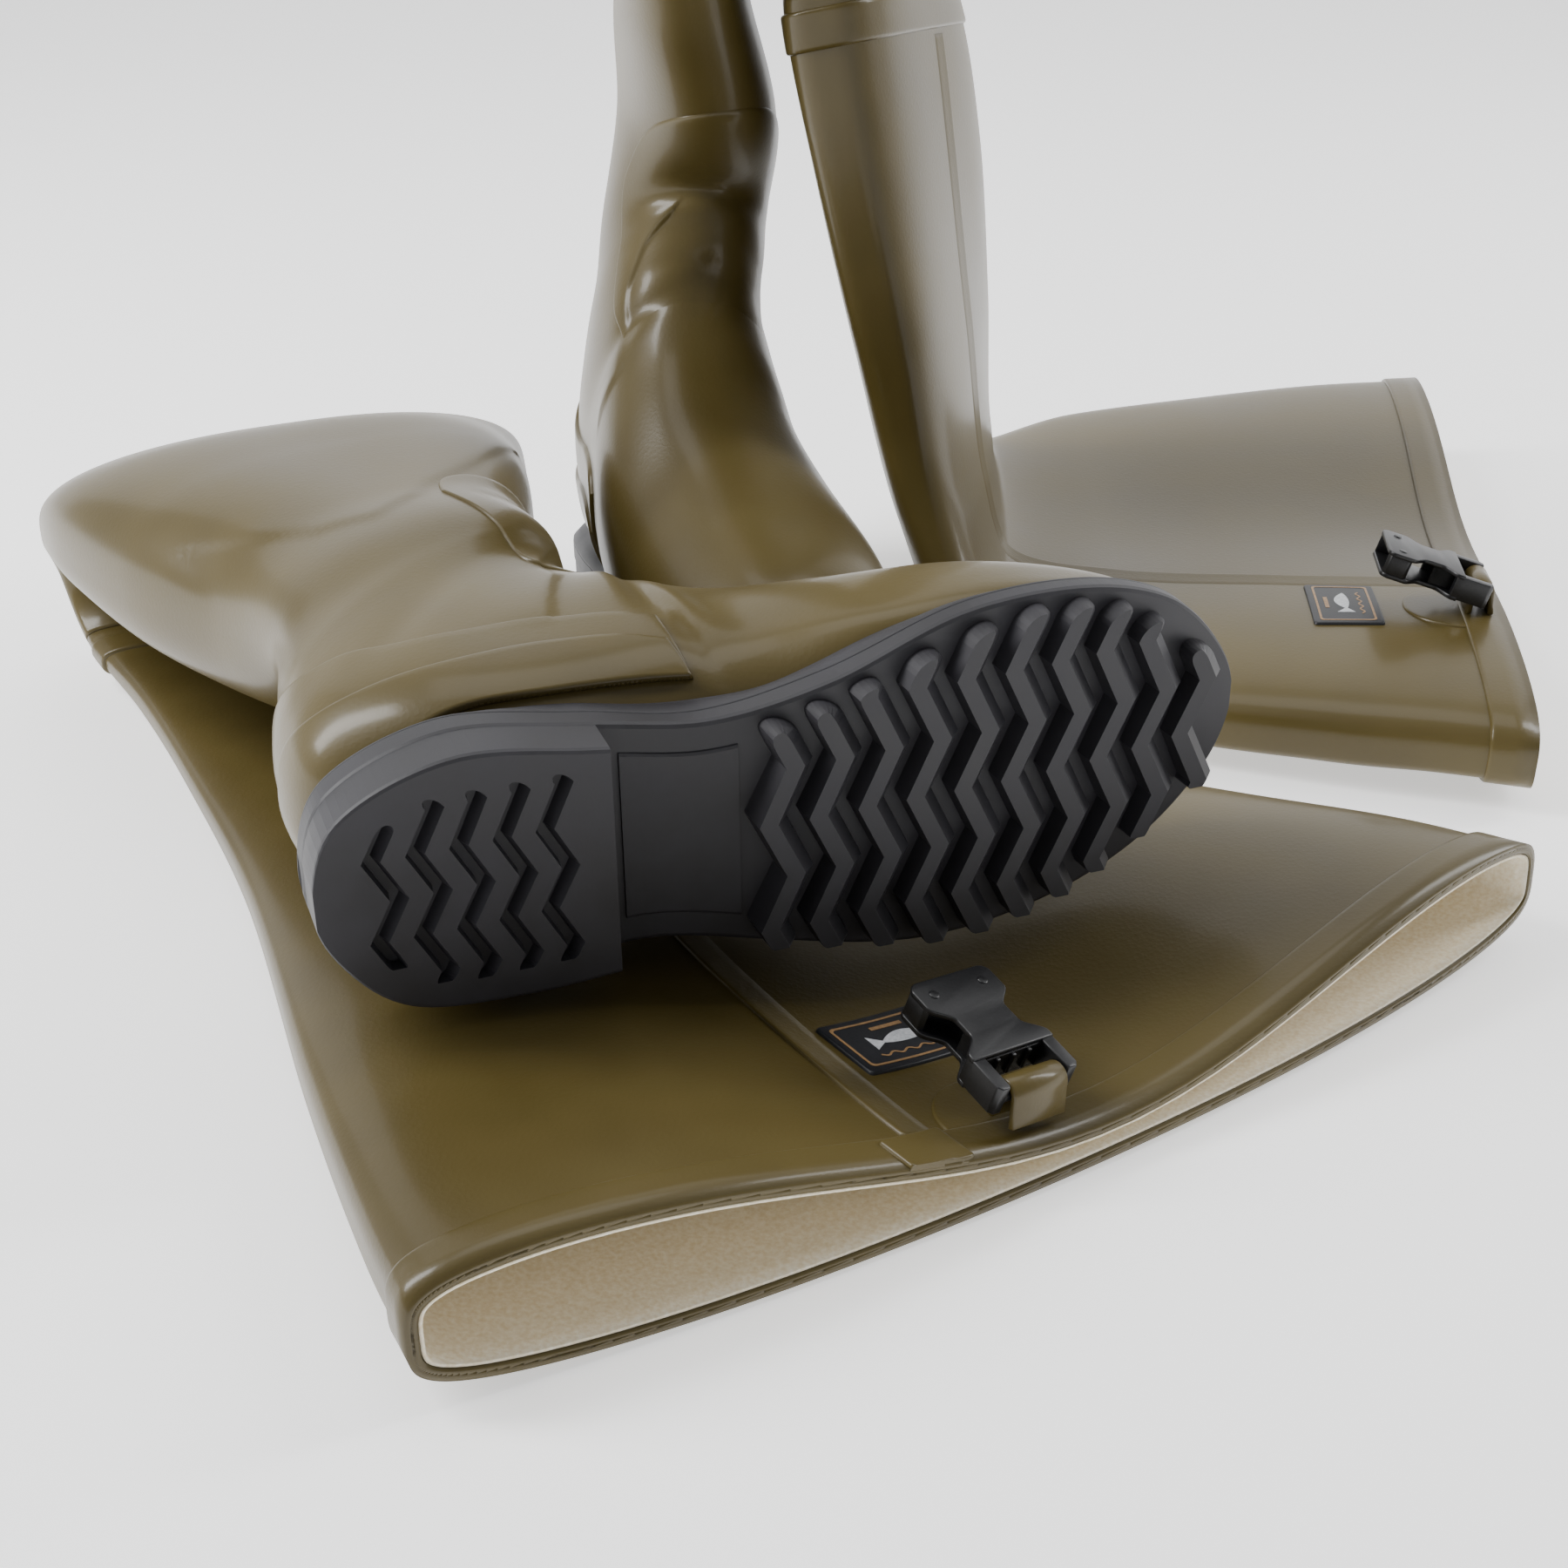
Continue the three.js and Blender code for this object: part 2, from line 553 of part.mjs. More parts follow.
// The rubber loop round the buckle's bar: up through the window, over the bar and down outside it.
function loopGeometry() {
  const inside = BAR_RADIUS + LOOP_CLEARANCE;
  const outside = inside + STRAP_WALL;
  const foot = -BAR_HEIGHT + GLUE_GAP;
  const onCircle = (r, a) => new THREE.Vector2(r * Math.cos(a), r * Math.sin(a));
  const arc = (r, a0, a1) => spread(a0, a1, 8).map((a) => onCircle(r, a));
  const shape = new THREE.Shape([
    new THREE.Vector2(outside, foot), ...arc(outside, 0, Math.PI), new THREE.Vector2(-outside, foot),
    new THREE.Vector2(-inside, foot), ...arc(inside, Math.PI, 0), new THREE.Vector2(inside, foot),
  ]);
  return new THREE.ExtrudeGeometry(shape, { depth: STRAP_WIDTH, bevelEnabled: false })
    .translate(0, 0, -STRAP_WIDTH / 2).rotateX(Math.PI / 2);
}

// ---------------------------------------------------------------- one whole wader
// outer is +1 or -1: the sign of the skin angle on the wader's outer side. inner is the boot's inner
// side on its own Y axis. knee is where the shaft ends and the thigh tube starts.
function makeWader(name, spec) {
  const { frame, stations, inner, outer, knee } = spec;
  const skin = makeSkin([...footStations(frame.place, inner), ...stations], outer);
  const top = skin.last;
  const lining = RUBBER_WALL + GLUE_GAP;
  const butt = (u) => skin.stepFor(u, 0, BUTT_GAP) / 2 + skin.stepFor(u, Math.PI, BUTT_GAP) / 2;
  const [ankleGap, kneeGap] = [butt(ANKLE), butt(knee)];
  const add = (part, geometry, finish) => addMesh(name + "_" + part, geometry, finish);
  const atSide = (q) => outer * Math.acos(q);

  // boot
  add("outsole", outsoleGeometry(inner).applyMatrix4(frame.matrix), BLACK_RUBBER);
  add("welt_strip", weltGeometry(inner).applyMatrix4(frame.matrix), BLACK_RUBBER);
  const footPlaces = [...spread(0, ANKLE - 1, ANKLE - 1), ANKLE - ankleGap];
  const shaftPlaces = spread(ANKLE + ankleGap, knee - kneeGap, spec.shaftRows);
  const thighPlaces = spread(knee + kneeGap, top, spec.thighRows);
  const foot = add("foot_upper", tubeLength(skin, footPlaces, 0, RUBBER_WALL, 0.4), OLIVE);
  const shaft = add("shaft", tubeLength(skin, shaftPlaces, 0, RUBBER_WALL), OLIVE);
  const thigh = add("thigh_tube", tubeLength(skin, thighPlaces, 0, RUBBER_WALL), OLIVE);
  const tube = [foot, shaft, thigh];

  // cotton lining, in a foot sock and a leg sleeve, and the footbed
  const [sock, sleeve] = [footPlaces.slice(1), [...shaftPlaces, ...thighPlaces]];
  add("foot_lining", tubeLength(skin, sock, lining, lining + LINING_WALL, 0.3), COTTON);
  add("leg_lining", tubeLength(skin, sleeve, lining, lining + LINING_WALL), COTTON);
  const bedStations = [60, 75, 95, 120, 145, 170, 195, 220, 238];
  const bedBottom = (x) => plateTop(x) + FOOTBED_RISE + lining + LINING_WALL;
  add(
    "footbed",
    soleSlab(bedStations, inner, FOOTBED_MARGIN, bedBottom, (x) => bedBottom(x) + FOOTBED_WALL)
      .applyMatrix4(frame.matrix),
    BOARD,
  );

  // glued reinforcements on the boot, the knee band and the seam tape
  add(
    "heel_counter",
    panelOf(
      tube, skin,
      (t, s) => [
        8.15 + 1.55 * t - 0.35 * (2 * s - 1) ** 2 * (1 - t),
        Math.PI + (s - 0.5) * outer * deg(150 - 30 * t),
      ],
      5, 12,
    ),
    OLIVE,
  );
  add(
    "shin_guard",
    panelOf(
      tube, skin,
      (t, s) => [
        (9.95 + 0.25 * (1 - s) ** 2) * (1 - t) + (spec.guardTop + 0.25 * Math.sin(s * Math.PI * 2)) * t,
        outer * deg(-118 + 158 * s),
      ],
      6, 12, PANEL_WALL, 2 * GLUE_GAP,
    ),
    OLIVE,
  );
  const kneeStep = (angle) => skin.stepFor(knee + 0.4, angle, KNEE_BAND_WIDTH);
  const kneeFrom = knee + 0.15;
  const kneeTo = kneeFrom + (kneeStep(0) + kneeStep(Math.PI)) / 2;
  add("knee_band", bandOf(tube, skin, kneeFrom, kneeTo, 3, PANEL_WALL), OLIVE);
  const bandStart = top - skin.stepFor(top, atSide(spec.seamAt), BAND_WIDTH);
  const seamFrom = kneeTo + 0.05;
  const seamTo = bandStart - skin.stepFor(top, atSide(spec.seamAt), 1);
  const badgeAt = spec.seamAt + BADGE_FROM_SEAM;
  add(
    "leg_seam",
    panelOf(
      tube, skin,
      (t, s) => {
        const u = seamFrom + (seamTo - seamFrom) * t;
        const width = skin.point(u, 0).distanceTo(skin.point(u, Math.PI));
        const at = spec.seamFrom + (spec.seamAt - spec.seamFrom) * Math.min(t * 2, 1);
        return [u, atSide(at + ((0.5 - s) * 2 * SEAM_WIDTH) / width)];
      },
      26, 2, 1,
    ),
    OLIVE,
  );
  const band = add("top_band", bandOf(tube, skin, bandStart, top, 2, BAND_WALL), OLIVE);

  // badge, buckle patch, rubber loop and buckle
  const side = atSide(badgeAt);
  const onSkin = (distance) => skinFrame(skin, top - skin.stepFor(top, side, distance), side);
  const [badgeX, badgeY] = [BADGE_HEIGHT / 2, BADGE_LENGTH / 2];
  add(
    "badge",
    plateFrom(
      tube, onSkin(BADGE_TO_EDGE),
      (t, s) => [badgeX * (1 - 2 * t), badgeY * (1 - 2 * s)],
      4, 6, BADGE_WALL,
    ),
    BLACK_VINYL,
  );
  const patchTurn = (t) => (1 - t) * deg(83);
  add(
    "buckle_patch",
    plateFrom(
      tube, onSkin(BAND_WIDTH + 2.4),
      (t, s) => [
        PATCH_RADIUS * Math.sin(patchTurn(t)),
        PATCH_RADIUS * Math.cos(patchTurn(t)) * (1 - 2 * s),
      ],
      5, 8, 1,
    ),
    OLIVE,
  );
  const loopReach = BAR_RADIUS + LOOP_CLEARANCE + STRAP_WALL;
  const rest = restingFrame([band], onSkin(BUCKLE_TO_EDGE), loopReach, STRAP_WIDTH / 2);
  const bar = rest.multiply(new THREE.Matrix4().makeTranslation(0, 0, BAR_HEIGHT));
  add("strap_loop", loopGeometry().applyMatrix4(bar), OLIVE);
  const tilted = bar.clone().multiply(new THREE.Matrix4().makeRotationY(-deg(BUCKLE_TILT)));
  add("buckle", buckleGeometry().applyMatrix4(tilted), BLACK_ACETAL);
}

// ---------------------------------------------------------------- the left wader, folded and lying
const leftBoot = bootFrame(V(-128, 517, 81), V(0.937, 0.35, 0.022), V(-0.35, 0.936, 0.03));
const lying = (options) => ({ backPower: 4, frontPower: 4, ...options });
const leftStations = [
  station(V(-196, 703, 85), V(-93, 771, 87), 42, 42, { backPower: 2.3, frontPower: 2.6 }),
  station(V(-243, 752, 80), V(-100, 833, 84), 42, 42, { backPower: 2.5, frontPower: 2.8 }),
  station(V(-283, 806, 76), V(-108, 876, 82), 35, 37, { backPower: 2.6, frontPower: 2.6 }),
  station(V(-305, 852, 66), V(-112, 912, 76), 22, 24),
  station(V(-308, 874, 42), V(-112, 924, 46), 14, 15),
  station(V(-294, 856, 17), V(-110, 906, 17), 10, 10),
  station(V(-258, 800, 13), V(-98, 856, 8), 9, 8, lying({ press: 4, pressAt: 0.65 })),
  station(V(-222, 730, 14), V(-22, 800, 8), 10, 8, lying({ press: 7, pressAt: 0.6, pressSpread: 0.6 })),
  station(V(-180, 640, 15), V(92, 752, 11), 14, 12, lying({ press: 14, pressAt: 0.45, pressSpread: 0.6 })),
  station(V(-138, 524, 19), V(167, 700, 16), 20, 17, lying({
    press: 22, pressAt: 0.1, pressSpread: 0.55, bow: 6,
  })),
  station(V(-109, 452, 21), V(215, 668, 21), 24, 19, lying({
    press: 32, pressAt: 0.05, pressSpread: 0.56, bow: 13,
  })),
  station(V(-90, 413, 22), V(249, 640, 24), 26, 20, lying({
    press: 36, pressAt: 0.03, pressSpread: 0.58, bow: 17,
  })),
];

// ---------------------------------------------------------------- the right wader, standing
const rightBoot = bootFrame(V(-68, 992, 0), V(0.285, -0.958, 0.068), V(0, 0, 1));
const rightStations = [
  station(V(-52, 1000, 214), V(-22, 876, 224), 30, 30, { backPower: 2.3, frontPower: 2.3 }),
  station(V(-52, 1006, 259), V(-32, 858, 268), 26, 26, { backPower: 2.6, frontPower: 2.6 }),
  station(V(-48, 1012, 301), V(-36, 844, 306), 21, 21),
  station(V(-16, 1012, 328), V(-6, 838, 334), 20, 20),
  station(V(32, 1014, 306), V(12, 842, 311), 21, 21),
  station(V(62, 1016, 253), V(13, 847, 270), 22, 22, { frontPower: 3.6 }),
  station(V(76, 1018, 194), V(24, 848, 212), 21, 21, { frontPower: 3.6 }),
  station(V(82, 1024, 126), V(40, 846, 144), 20, 20, { frontPower: 3.4 }),
  station(V(86, 1036, 64), V(58, 838, 74), 18, 18),
  station(V(98, 1074, 29), V(84, 812, 27), 17, 17),
  station(V(148, 1108, 28), V(142, 776, 19), 17, 17, lying({ press: 5 })),
  station(V(215, 1122, 31), V(206, 750, 20), 18, 20, lying({ press: 9 })),
  station(V(278, 1136, 33), V(246, 738, 21), 18, 21, lying({ press: 12 })),
  station(V(335, 1146, 33), V(278, 728, 21), 18, 21, lying({ press: 12 })),
];

makeWader("left", {
  frame: leftBoot, stations: leftStations, inner: -1, outer: 1, knee: ANKLE + 6,
  guardTop: ANKLE + 1.1, shaftRows: 6, thighRows: 10, seamFrom: -0.3, seamAt: -0.245,
});
makeWader("right", {
  frame: rightBoot, stations: rightStations, inner: 1, outer: -1, knee: ANKLE + 5.8,
  guardTop: ANKLE + 1.1, shaftRows: 7, thighRows: 10, seamFrom: 0, seamAt: 0.36,
});

// The origin is the middle of the pair's footprint, on the ground.
const extent = new THREE.Box3().setFromObject(group);
const middle = extent.getCenter(V(0, 0, 0));
group.position.set(-middle.x, -middle.y, -extent.min.z);
group.updateMatrixWorld(true);

export default group;
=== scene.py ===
# %% [markdown]
# # A pair of rubber thigh waders
# One wader lies folded below the knee with its boot on top of its own leg, the other stands with its long
# leg bent over and down to the floor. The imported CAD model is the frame: it says where everything is.
# The rubber, the lining and the sole are rebuilt here as fine surfaces on the same sections as the CAD.

import json
import math

import bpy
import numpy as np
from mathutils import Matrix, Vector
from mathutils.bvhtree import BVHTree


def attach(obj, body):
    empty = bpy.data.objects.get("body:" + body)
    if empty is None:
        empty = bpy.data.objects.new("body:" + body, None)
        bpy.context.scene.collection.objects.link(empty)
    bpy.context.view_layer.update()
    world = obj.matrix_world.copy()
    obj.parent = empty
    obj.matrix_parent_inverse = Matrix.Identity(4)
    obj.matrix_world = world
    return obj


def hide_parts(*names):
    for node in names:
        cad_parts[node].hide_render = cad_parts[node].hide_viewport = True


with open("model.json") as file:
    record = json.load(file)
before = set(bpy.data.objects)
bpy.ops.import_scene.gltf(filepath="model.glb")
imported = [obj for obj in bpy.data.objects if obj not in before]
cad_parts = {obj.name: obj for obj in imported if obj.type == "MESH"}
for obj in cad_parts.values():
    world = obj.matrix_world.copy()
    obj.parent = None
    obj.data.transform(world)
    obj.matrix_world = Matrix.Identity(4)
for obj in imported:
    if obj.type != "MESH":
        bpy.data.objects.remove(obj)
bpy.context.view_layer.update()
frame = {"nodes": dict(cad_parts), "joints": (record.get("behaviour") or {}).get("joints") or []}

# %% [markdown]
# ## Units
# The sections of the waders are laid out in millimetres in a layout of their own, and Blender works in
# metres around the CAD origin, so one function carries points over.

# %% From the layout's millimetres to the frame's metres
MM = 0.001
LAYOUT_ORIGIN = np.array([13.769, 780.056, 0.041])


def to_frame(points):
    return (np.asarray(points, float) - LAYOUT_ORIGIN) * MM


def unit(v):
    return v / np.maximum(np.linalg.norm(v, axis=-1, keepdims=True), 1e-12)


# %% [markdown]
# ## The skin
# A wader is one long tube of rubber. It is described by stations from the toe to the top edge: a back
# edge, a front edge, how thick it is on each side and how square. A smooth curve runs through the
# stations' values, so the tube can be sampled as finely as a surface needs.

# %% Stations and the curve through them
AHEAD = 0.45  # how far each way along the stations a section's facing is averaged
COLUMNS = "plus minus split back_power front_power bow press press_at press_spread".split()


def station(back, front, plus, minus, **options):
    plain = dict(split=0.5, back_power=3, front_power=3, bow=0, press=0, press_at=0, press_spread=0.45)
    values = {**plain, **options, "plus": plus, "minus": minus}
    return [*back, *front, *(values[c] for c in COLUMNS)]


def through(stations, u):
    """Values at u along a smooth curve through the stations."""
    last = len(stations) - 1
    u = np.clip(np.asarray(u, float), 0, last)
    i = np.minimum(u.astype(int), last - 1)
    f = (u - i)[..., None]
    ends = np.vstack([2 * stations[0] - stations[1], stations, 2 * stations[-1] - stations[-2]])
    p0, p1, p2, p3 = (ends[i + k] for k in range(4))
    t0, t1 = (p2 - p0) / 2, (p3 - p1) / 2
    return p1 + t0 * f + (3 * (p2 - p1) - 2 * t0 - t1) * f**2 + (2 * (p1 - p2) + t0 + t1) * f**3


def surface(skin, u, turn):
    """Points of the skin. Turn 0 is the front edge, a quarter turn the plus side."""
    stations, pressed = skin["stations"], skin["outer"]
    u, turn = np.broadcast_arrays(np.asarray(u, float), np.asarray(turn, float))
    v = through(stations, u)
    back, front = v[..., 0:3], v[..., 3:6]
    plus, minus, split, back_power, front_power, bow, press, press_at, spread = np.moveaxis(v[..., 6:], -1, 0)
    later, earlier = through(stations, u + AHEAD), through(stations, u - AHEAD)
    along = unit(later[..., 0:3] + later[..., 3:6] - earlier[..., 0:3] - earlier[..., 3:6])
    side = unit(np.cross(along, front - back))
    q = np.cos(turn)
    power = np.where(q < 0, back_power, front_power)
    rise = np.maximum(1 - np.abs(q) ** power, 0) ** (1 / power)
    up = np.where(np.sin(turn) >= 0, 1, -1)
    bell = np.exp(-(((q - press_at) / spread) ** 2)) * np.minimum(rise * 1.3, 1)
    height = np.where(up > 0, plus, minus) * rise - np.where(up == pressed, press * bell, 0)
    middle = back + (front - back) * split[..., None]
    edge = np.where((q < 0)[..., None], back, front)
    flat = middle + (edge - middle) * np.abs(q)[..., None] + along * (bow * (1 - q * q))[..., None]
    return flat + side * (up * height)[..., None]


def outward(skin, u, turn):
    """The way out of the skin."""
    d = 0.02
    du = surface(skin, np.asarray(u) + d, turn) - surface(skin, np.asarray(u) - d, turn)
    da = surface(skin, u, np.asarray(turn) + d) - surface(skin, u, np.asarray(turn) - d)
    return unit(np.cross(da, du))


def step_for(skin, u, turn, distance):
    """The step in u that moves a point of the skin by a distance."""
    d = 0.05
    last = len(skin["stations"]) - 1
    u0, u1 = np.maximum(u - d, 0), np.minimum(u + d, last)
    return distance * (u1 - u0) / np.linalg.norm(surface(skin, u1, turn) - surface(skin, u0, turn), axis=-1)


# %% The boot's own sections
# In the boot's own frame: x from heel to toe, z up the shaft. Columns: back x, back z, front x, front z,
# sideways shift towards the inner side, split, half width, back power, front power.
FOOT_SECTIONS = [
    (287, 30, 287.5, 40, 4, 0.4, 12, 2.2, 2.2),
    (281, 26.5, 279, 54, 4, 0.38, 26, 2.8, 2.2),
    (263, 22.5, 258, 70, 3.6, 0.35, 38, 3.6, 2.2),
    (226, 18.5, 218, 84, 1.7, 0.32, 48.5, 4, 2.2),
    (186, 17.5, 176, 102, -1, 0.3, 49.5, 4, 2.1),
    (143, 20.5, 146, 122, -4, 0.36, 44.5, 3, 2.3),
    (98, 25, 129, 138, -1.5, 0.4, 42, 3, 2.3),
    (50, 26.5, 121, 150, 1.5, 0.42, 40.5, 3.6, 2.2),
    (12, 44, 118, 160, 3, 0.44, 39, 2.7, 2.1),
    (5, 78, 118, 170, 5, 0.46, 36, 2.4, 2.1),
    (10, 115, 119, 181, 8, 0.47, 34, 2.2, 2.1),
    (14, 150, 120, 194, 10, 0.48, 33, 2.1, 2.1),
]
ANKLE = len(FOOT_SECTIONS) - 1


def boot_frame(heel, toeward, shaftward):
    x = unit(np.array(toeward, float))
    y = unit(np.cross(shaftward, x))
    z = np.cross(x, y)
    return {"heel": np.array(heel, float), "axes": np.array([x, y, z])}


def from_boot(boot, points):
    return boot["heel"] + np.asarray(points, float) @ boot["axes"]


def into_boot(boot, points):
    return (np.asarray(points, float) - boot["heel"]) @ boot["axes"].T


def foot_stations(boot, inner):
    made = []
    for bx, bz, fx, fz, shift, split, half, back_power, front_power in FOOT_SECTIONS:
        ends = from_boot(boot, [[bx, shift * inner, bz], [fx, shift * inner, fz]])
        options = dict(split=split, back_power=back_power, front_power=front_power)
        made.append(station(ends[0], ends[1], half, half, **options))
    return made


def lying(**options):
    return dict(back_power=4, front_power=4, **options)


# %% The two waders
def round_tube(back_power, front_power=3):
    return dict(back_power=back_power, front_power=front_power)


left_boot = boot_frame((-128, 517, 81), (0.937, 0.35, 0.022), (-0.35, 0.936, 0.03))
left_leg = [
    station((-196, 703, 85), (-93, 771, 87), 42, 42, **round_tube(2.3, 2.6)),
    station((-243, 752, 80), (-100, 833, 84), 42, 42, **round_tube(2.5, 2.8)),
    station((-283, 806, 76), (-108, 876, 82), 35, 37, **round_tube(2.6, 2.6)),
    station((-305, 852, 66), (-112, 912, 76), 22, 24),
    station((-308, 874, 42), (-112, 924, 46), 14, 15),
    station((-294, 856, 17), (-110, 906, 17), 10, 10),
    station((-258, 800, 13), (-98, 856, 8), 9, 8, **lying(press=4, press_at=0.65)),
    station((-222, 730, 14), (-22, 800, 8), 10, 8, **lying(press=7, press_at=0.6, press_spread=0.6)),
    station((-180, 640, 15), (92, 752, 11), 14, 12, **lying(press=14, press_at=0.45, press_spread=0.6)),
    station(
        (-138, 524, 19), (167, 700, 16), 20, 17, **lying(press=22, press_at=0.1, press_spread=0.55, bow=6)
    ),
    station(
        (-109, 452, 21), (215, 668, 21), 24, 19, **lying(press=32, press_at=0.05, press_spread=0.56, bow=13)
    ),
    station(
        (-90, 413, 22), (249, 640, 24), 26, 20, **lying(press=36, press_at=0.03, press_spread=0.58, bow=17)
    ),
]
right_boot = boot_frame((-68, 992, 0), (0.285, -0.958, 0.068), (0, 0, 1))
right_leg = [
    station((-52, 1000, 214), (-22, 876, 224), 30, 30, **round_tube(2.3, 2.3)),
    station((-52, 1006, 259), (-32, 858, 268), 26, 26, **round_tube(2.6, 2.6)),
    station((-48, 1012, 301), (-36, 844, 306), 21, 21),
    station((-16, 1012, 328), (-6, 838, 334), 20, 20),
    station((32, 1014, 306), (12, 842, 311), 21, 21),
    station((62, 1016, 253), (13, 847, 270), 22, 22, front_power=3.6),
    station((76, 1018, 194), (24, 848, 212), 21, 21, front_power=3.6),
    station((82, 1024, 126), (40, 846, 144), 20, 20, front_power=3.4),
    station((86, 1036, 64), (58, 838, 74), 18, 18),
    station((98, 1074, 29), (84, 812, 27), 17, 17),
    station((148, 1108, 28), (142, 776, 19), 17, 17, **lying(press=5)),
    station((215, 1122, 31), (206, 750, 20), 18, 20, **lying(press=9)),
    station((278, 1136, 33), (246, 738, 21), 18, 21, **lying(press=12)),
    station((335, 1146, 33), (278, 728, 21), 18, 21, **lying(press=12)),
]


def wader(boot, leg, inner, outer, **facts):
    stations = np.array(foot_stations(boot, inner) + leg, float)
    top = len(stations) - 1
    return {"boot": boot, "stations": stations, "inner": inner, "outer": outer, "top": top, **facts}


waders = {
    "left": wader(left_boot, left_leg, -1, 1, knee=ANKLE + 6, seam_from=-0.3, seam_at=-0.245),
    "right": wader(right_boot, right_leg, 1, -1, knee=ANKLE + 5.8, seam_from=0, seam_at=0.36),
}
for side, w in waders.items():
    print(side, "wader has", len(w["stations"]), "stations")

# %% [markdown]
# ## Meshes
# Every tube here is a grid of rings, so one function joins an outer and an inner grid into a closed
# shell, and another closes a plate that has a top and a bottom grid.

# %% Mesh makers
def grid_faces(rows, cols, start=0, wrap=True):
    i, j = np.meshgrid(np.arange(rows - 1), np.arange(cols if wrap else cols - 1), indexing="ij")
    k = (j + 1) % cols
    a = start + i * cols
    return np.stack([a + j, a + k, a + cols + k, a + cols + j], -1).reshape(-1, 4)


def signed_volume(points, faces):
    p = points[faces]
    first = np.einsum("ij,ij->i", p[:, 0], np.cross(p[:, 1], p[:, 2])).sum()
    second = np.einsum("ij,ij->i", p[:, 0], np.cross(p[:, 2], p[:, 3])).sum()
    return first + second


def mesh_object(name, points, faces, material, smooth=True):
    """An object from points in the frame's metres and closed quad faces, turned to face outwards."""
    faces = np.asarray(faces)
    if signed_volume(points, faces) < 0:
        faces = faces[:, ::-1]
    mesh = bpy.data.meshes.new(name)
    mesh.from_pydata(np.asarray(points).tolist(), [], faces.tolist())
    mesh.polygons.foreach_set("use_smooth", [smooth] * len(mesh.polygons))
    mesh.materials.append(material)
    made = bpy.data.objects.new(name, mesh)
    bpy.context.scene.collection.objects.link(made)
    return made


def shell(outer, inner):
    """Points and faces of a tube wall between two grids of rings, closed at both rims."""
    rows, cols = outer.shape[:2]
    base = rows * cols
    points = np.concatenate([outer.reshape(-1, 3), inner.reshape(-1, 3)])
    j = np.arange(cols)
    k = (j + 1) % cols
    end = (rows - 1) * cols
    faces = np.concatenate([
        grid_faces(rows, cols),
        grid_faces(rows, cols, base)[:, ::-1],
        np.stack([end + j, end + k, base + end + k, base + end + j], -1),
        np.stack([base + j, base + k, k, j], -1),
    ])
    return points, faces


def plate(top, bottom):
    """Points and faces of a plate between a top and a bottom grid."""
    rows, cols = top.shape[:2]
    base = rows * cols
    points = np.concatenate([top.reshape(-1, 3), bottom.reshape(-1, 3)])
    index = np.arange(base).reshape(rows, cols)
    rim = np.concatenate([index[0, :], index[1:, -1], index[-1, -2::-1], index[-2:0:-1, 0]])
    onward = np.roll(rim, -1)
    faces = np.concatenate([
        grid_faces(rows, cols, wrap=False),
        grid_faces(rows, cols, base, wrap=False)[:, ::-1],
        np.stack([base + rim, base + onward, onward, rim], -1),
    ])
    return points, faces


def rows_between(skin, start, end, spacing):
    """Places along the skin from start to end, evenly spaced in millimetres."""
    fine = np.linspace(start, end, 600)
    v = through(skin["stations"], fine)
    middle = (v[:, 0:3] + v[:, 3:6]) / 2
    length = np.concatenate([[0], np.cumsum(np.linalg.norm(np.diff(middle, axis=0), axis=1))])
    count = max(int(length[-1] / spacing), 2)
    return np.interp(np.linspace(0, length[-1], count), length, fine)


def turns_round(count):
    """Turns round the tube, closer together at its front and back edges, where it curves most."""
    even = np.linspace(0, 2 * math.pi, count, endpoint=False)
    return even - 0.45 * np.sin(2 * even)


def smoothstep(x):
    x = np.clip(x, 0, 1)
    return x * x * (3 - 2 * x)

# %% [markdown]
# ## Finishes
# Colours are written as they look on screen and turned to the linear values that shaders use. One
# function adds a shader node with its settings and what feeds its sockets.

# %% Colour and node helpers
def linear(hex_colour):
    """Linear RGBA from an sRGB hex colour."""
    parts = [int(hex_colour[i : i + 2], 16) / 255 for i in (1, 3, 5)]
    return (*[c / 12.92 if c <= 0.04045 else ((c + 0.055) / 1.055) ** 2.4 for c in parts], 1)


def add_node(material, kind, feeds=None, **settings):
    """Adds a shader node. feeds maps a socket's name or number to a value or to another node's output."""
    node = material.node_tree.nodes.new(kind)
    for name, value in settings.items():
        setattr(node, name, value)
    for socket, source in (feeds or {}).items():
        if isinstance(source, bpy.types.NodeSocket):
            material.node_tree.links.new(source, node.inputs[socket])
        else:
            node.inputs[socket].default_value = source
    return node


def new_material(name):
    """A material with only its shader, and that shader."""
    made = bpy.data.materials.new(name)
    made.use_nodes = True
    return made, made.node_tree.nodes["Principled BSDF"]


def per_metre(millimetres):
    """A texture scale that gives features of this size."""
    return 1 / (millimetres * MM)


def feed(material, shader, socket, output):
    material.node_tree.links.new(output, shader.inputs[socket])


# %% [markdown]
# ### Dipped natural rubber
# The boot and leg are natural rubber that was calendered, laid up by hand and cured under a thin lacquer.
# The eye sees a dark olive with a soft wide highlight, a very fine grain that breaks it up, and slow
# changes from greener to browner where the sheet was stretched over the last.

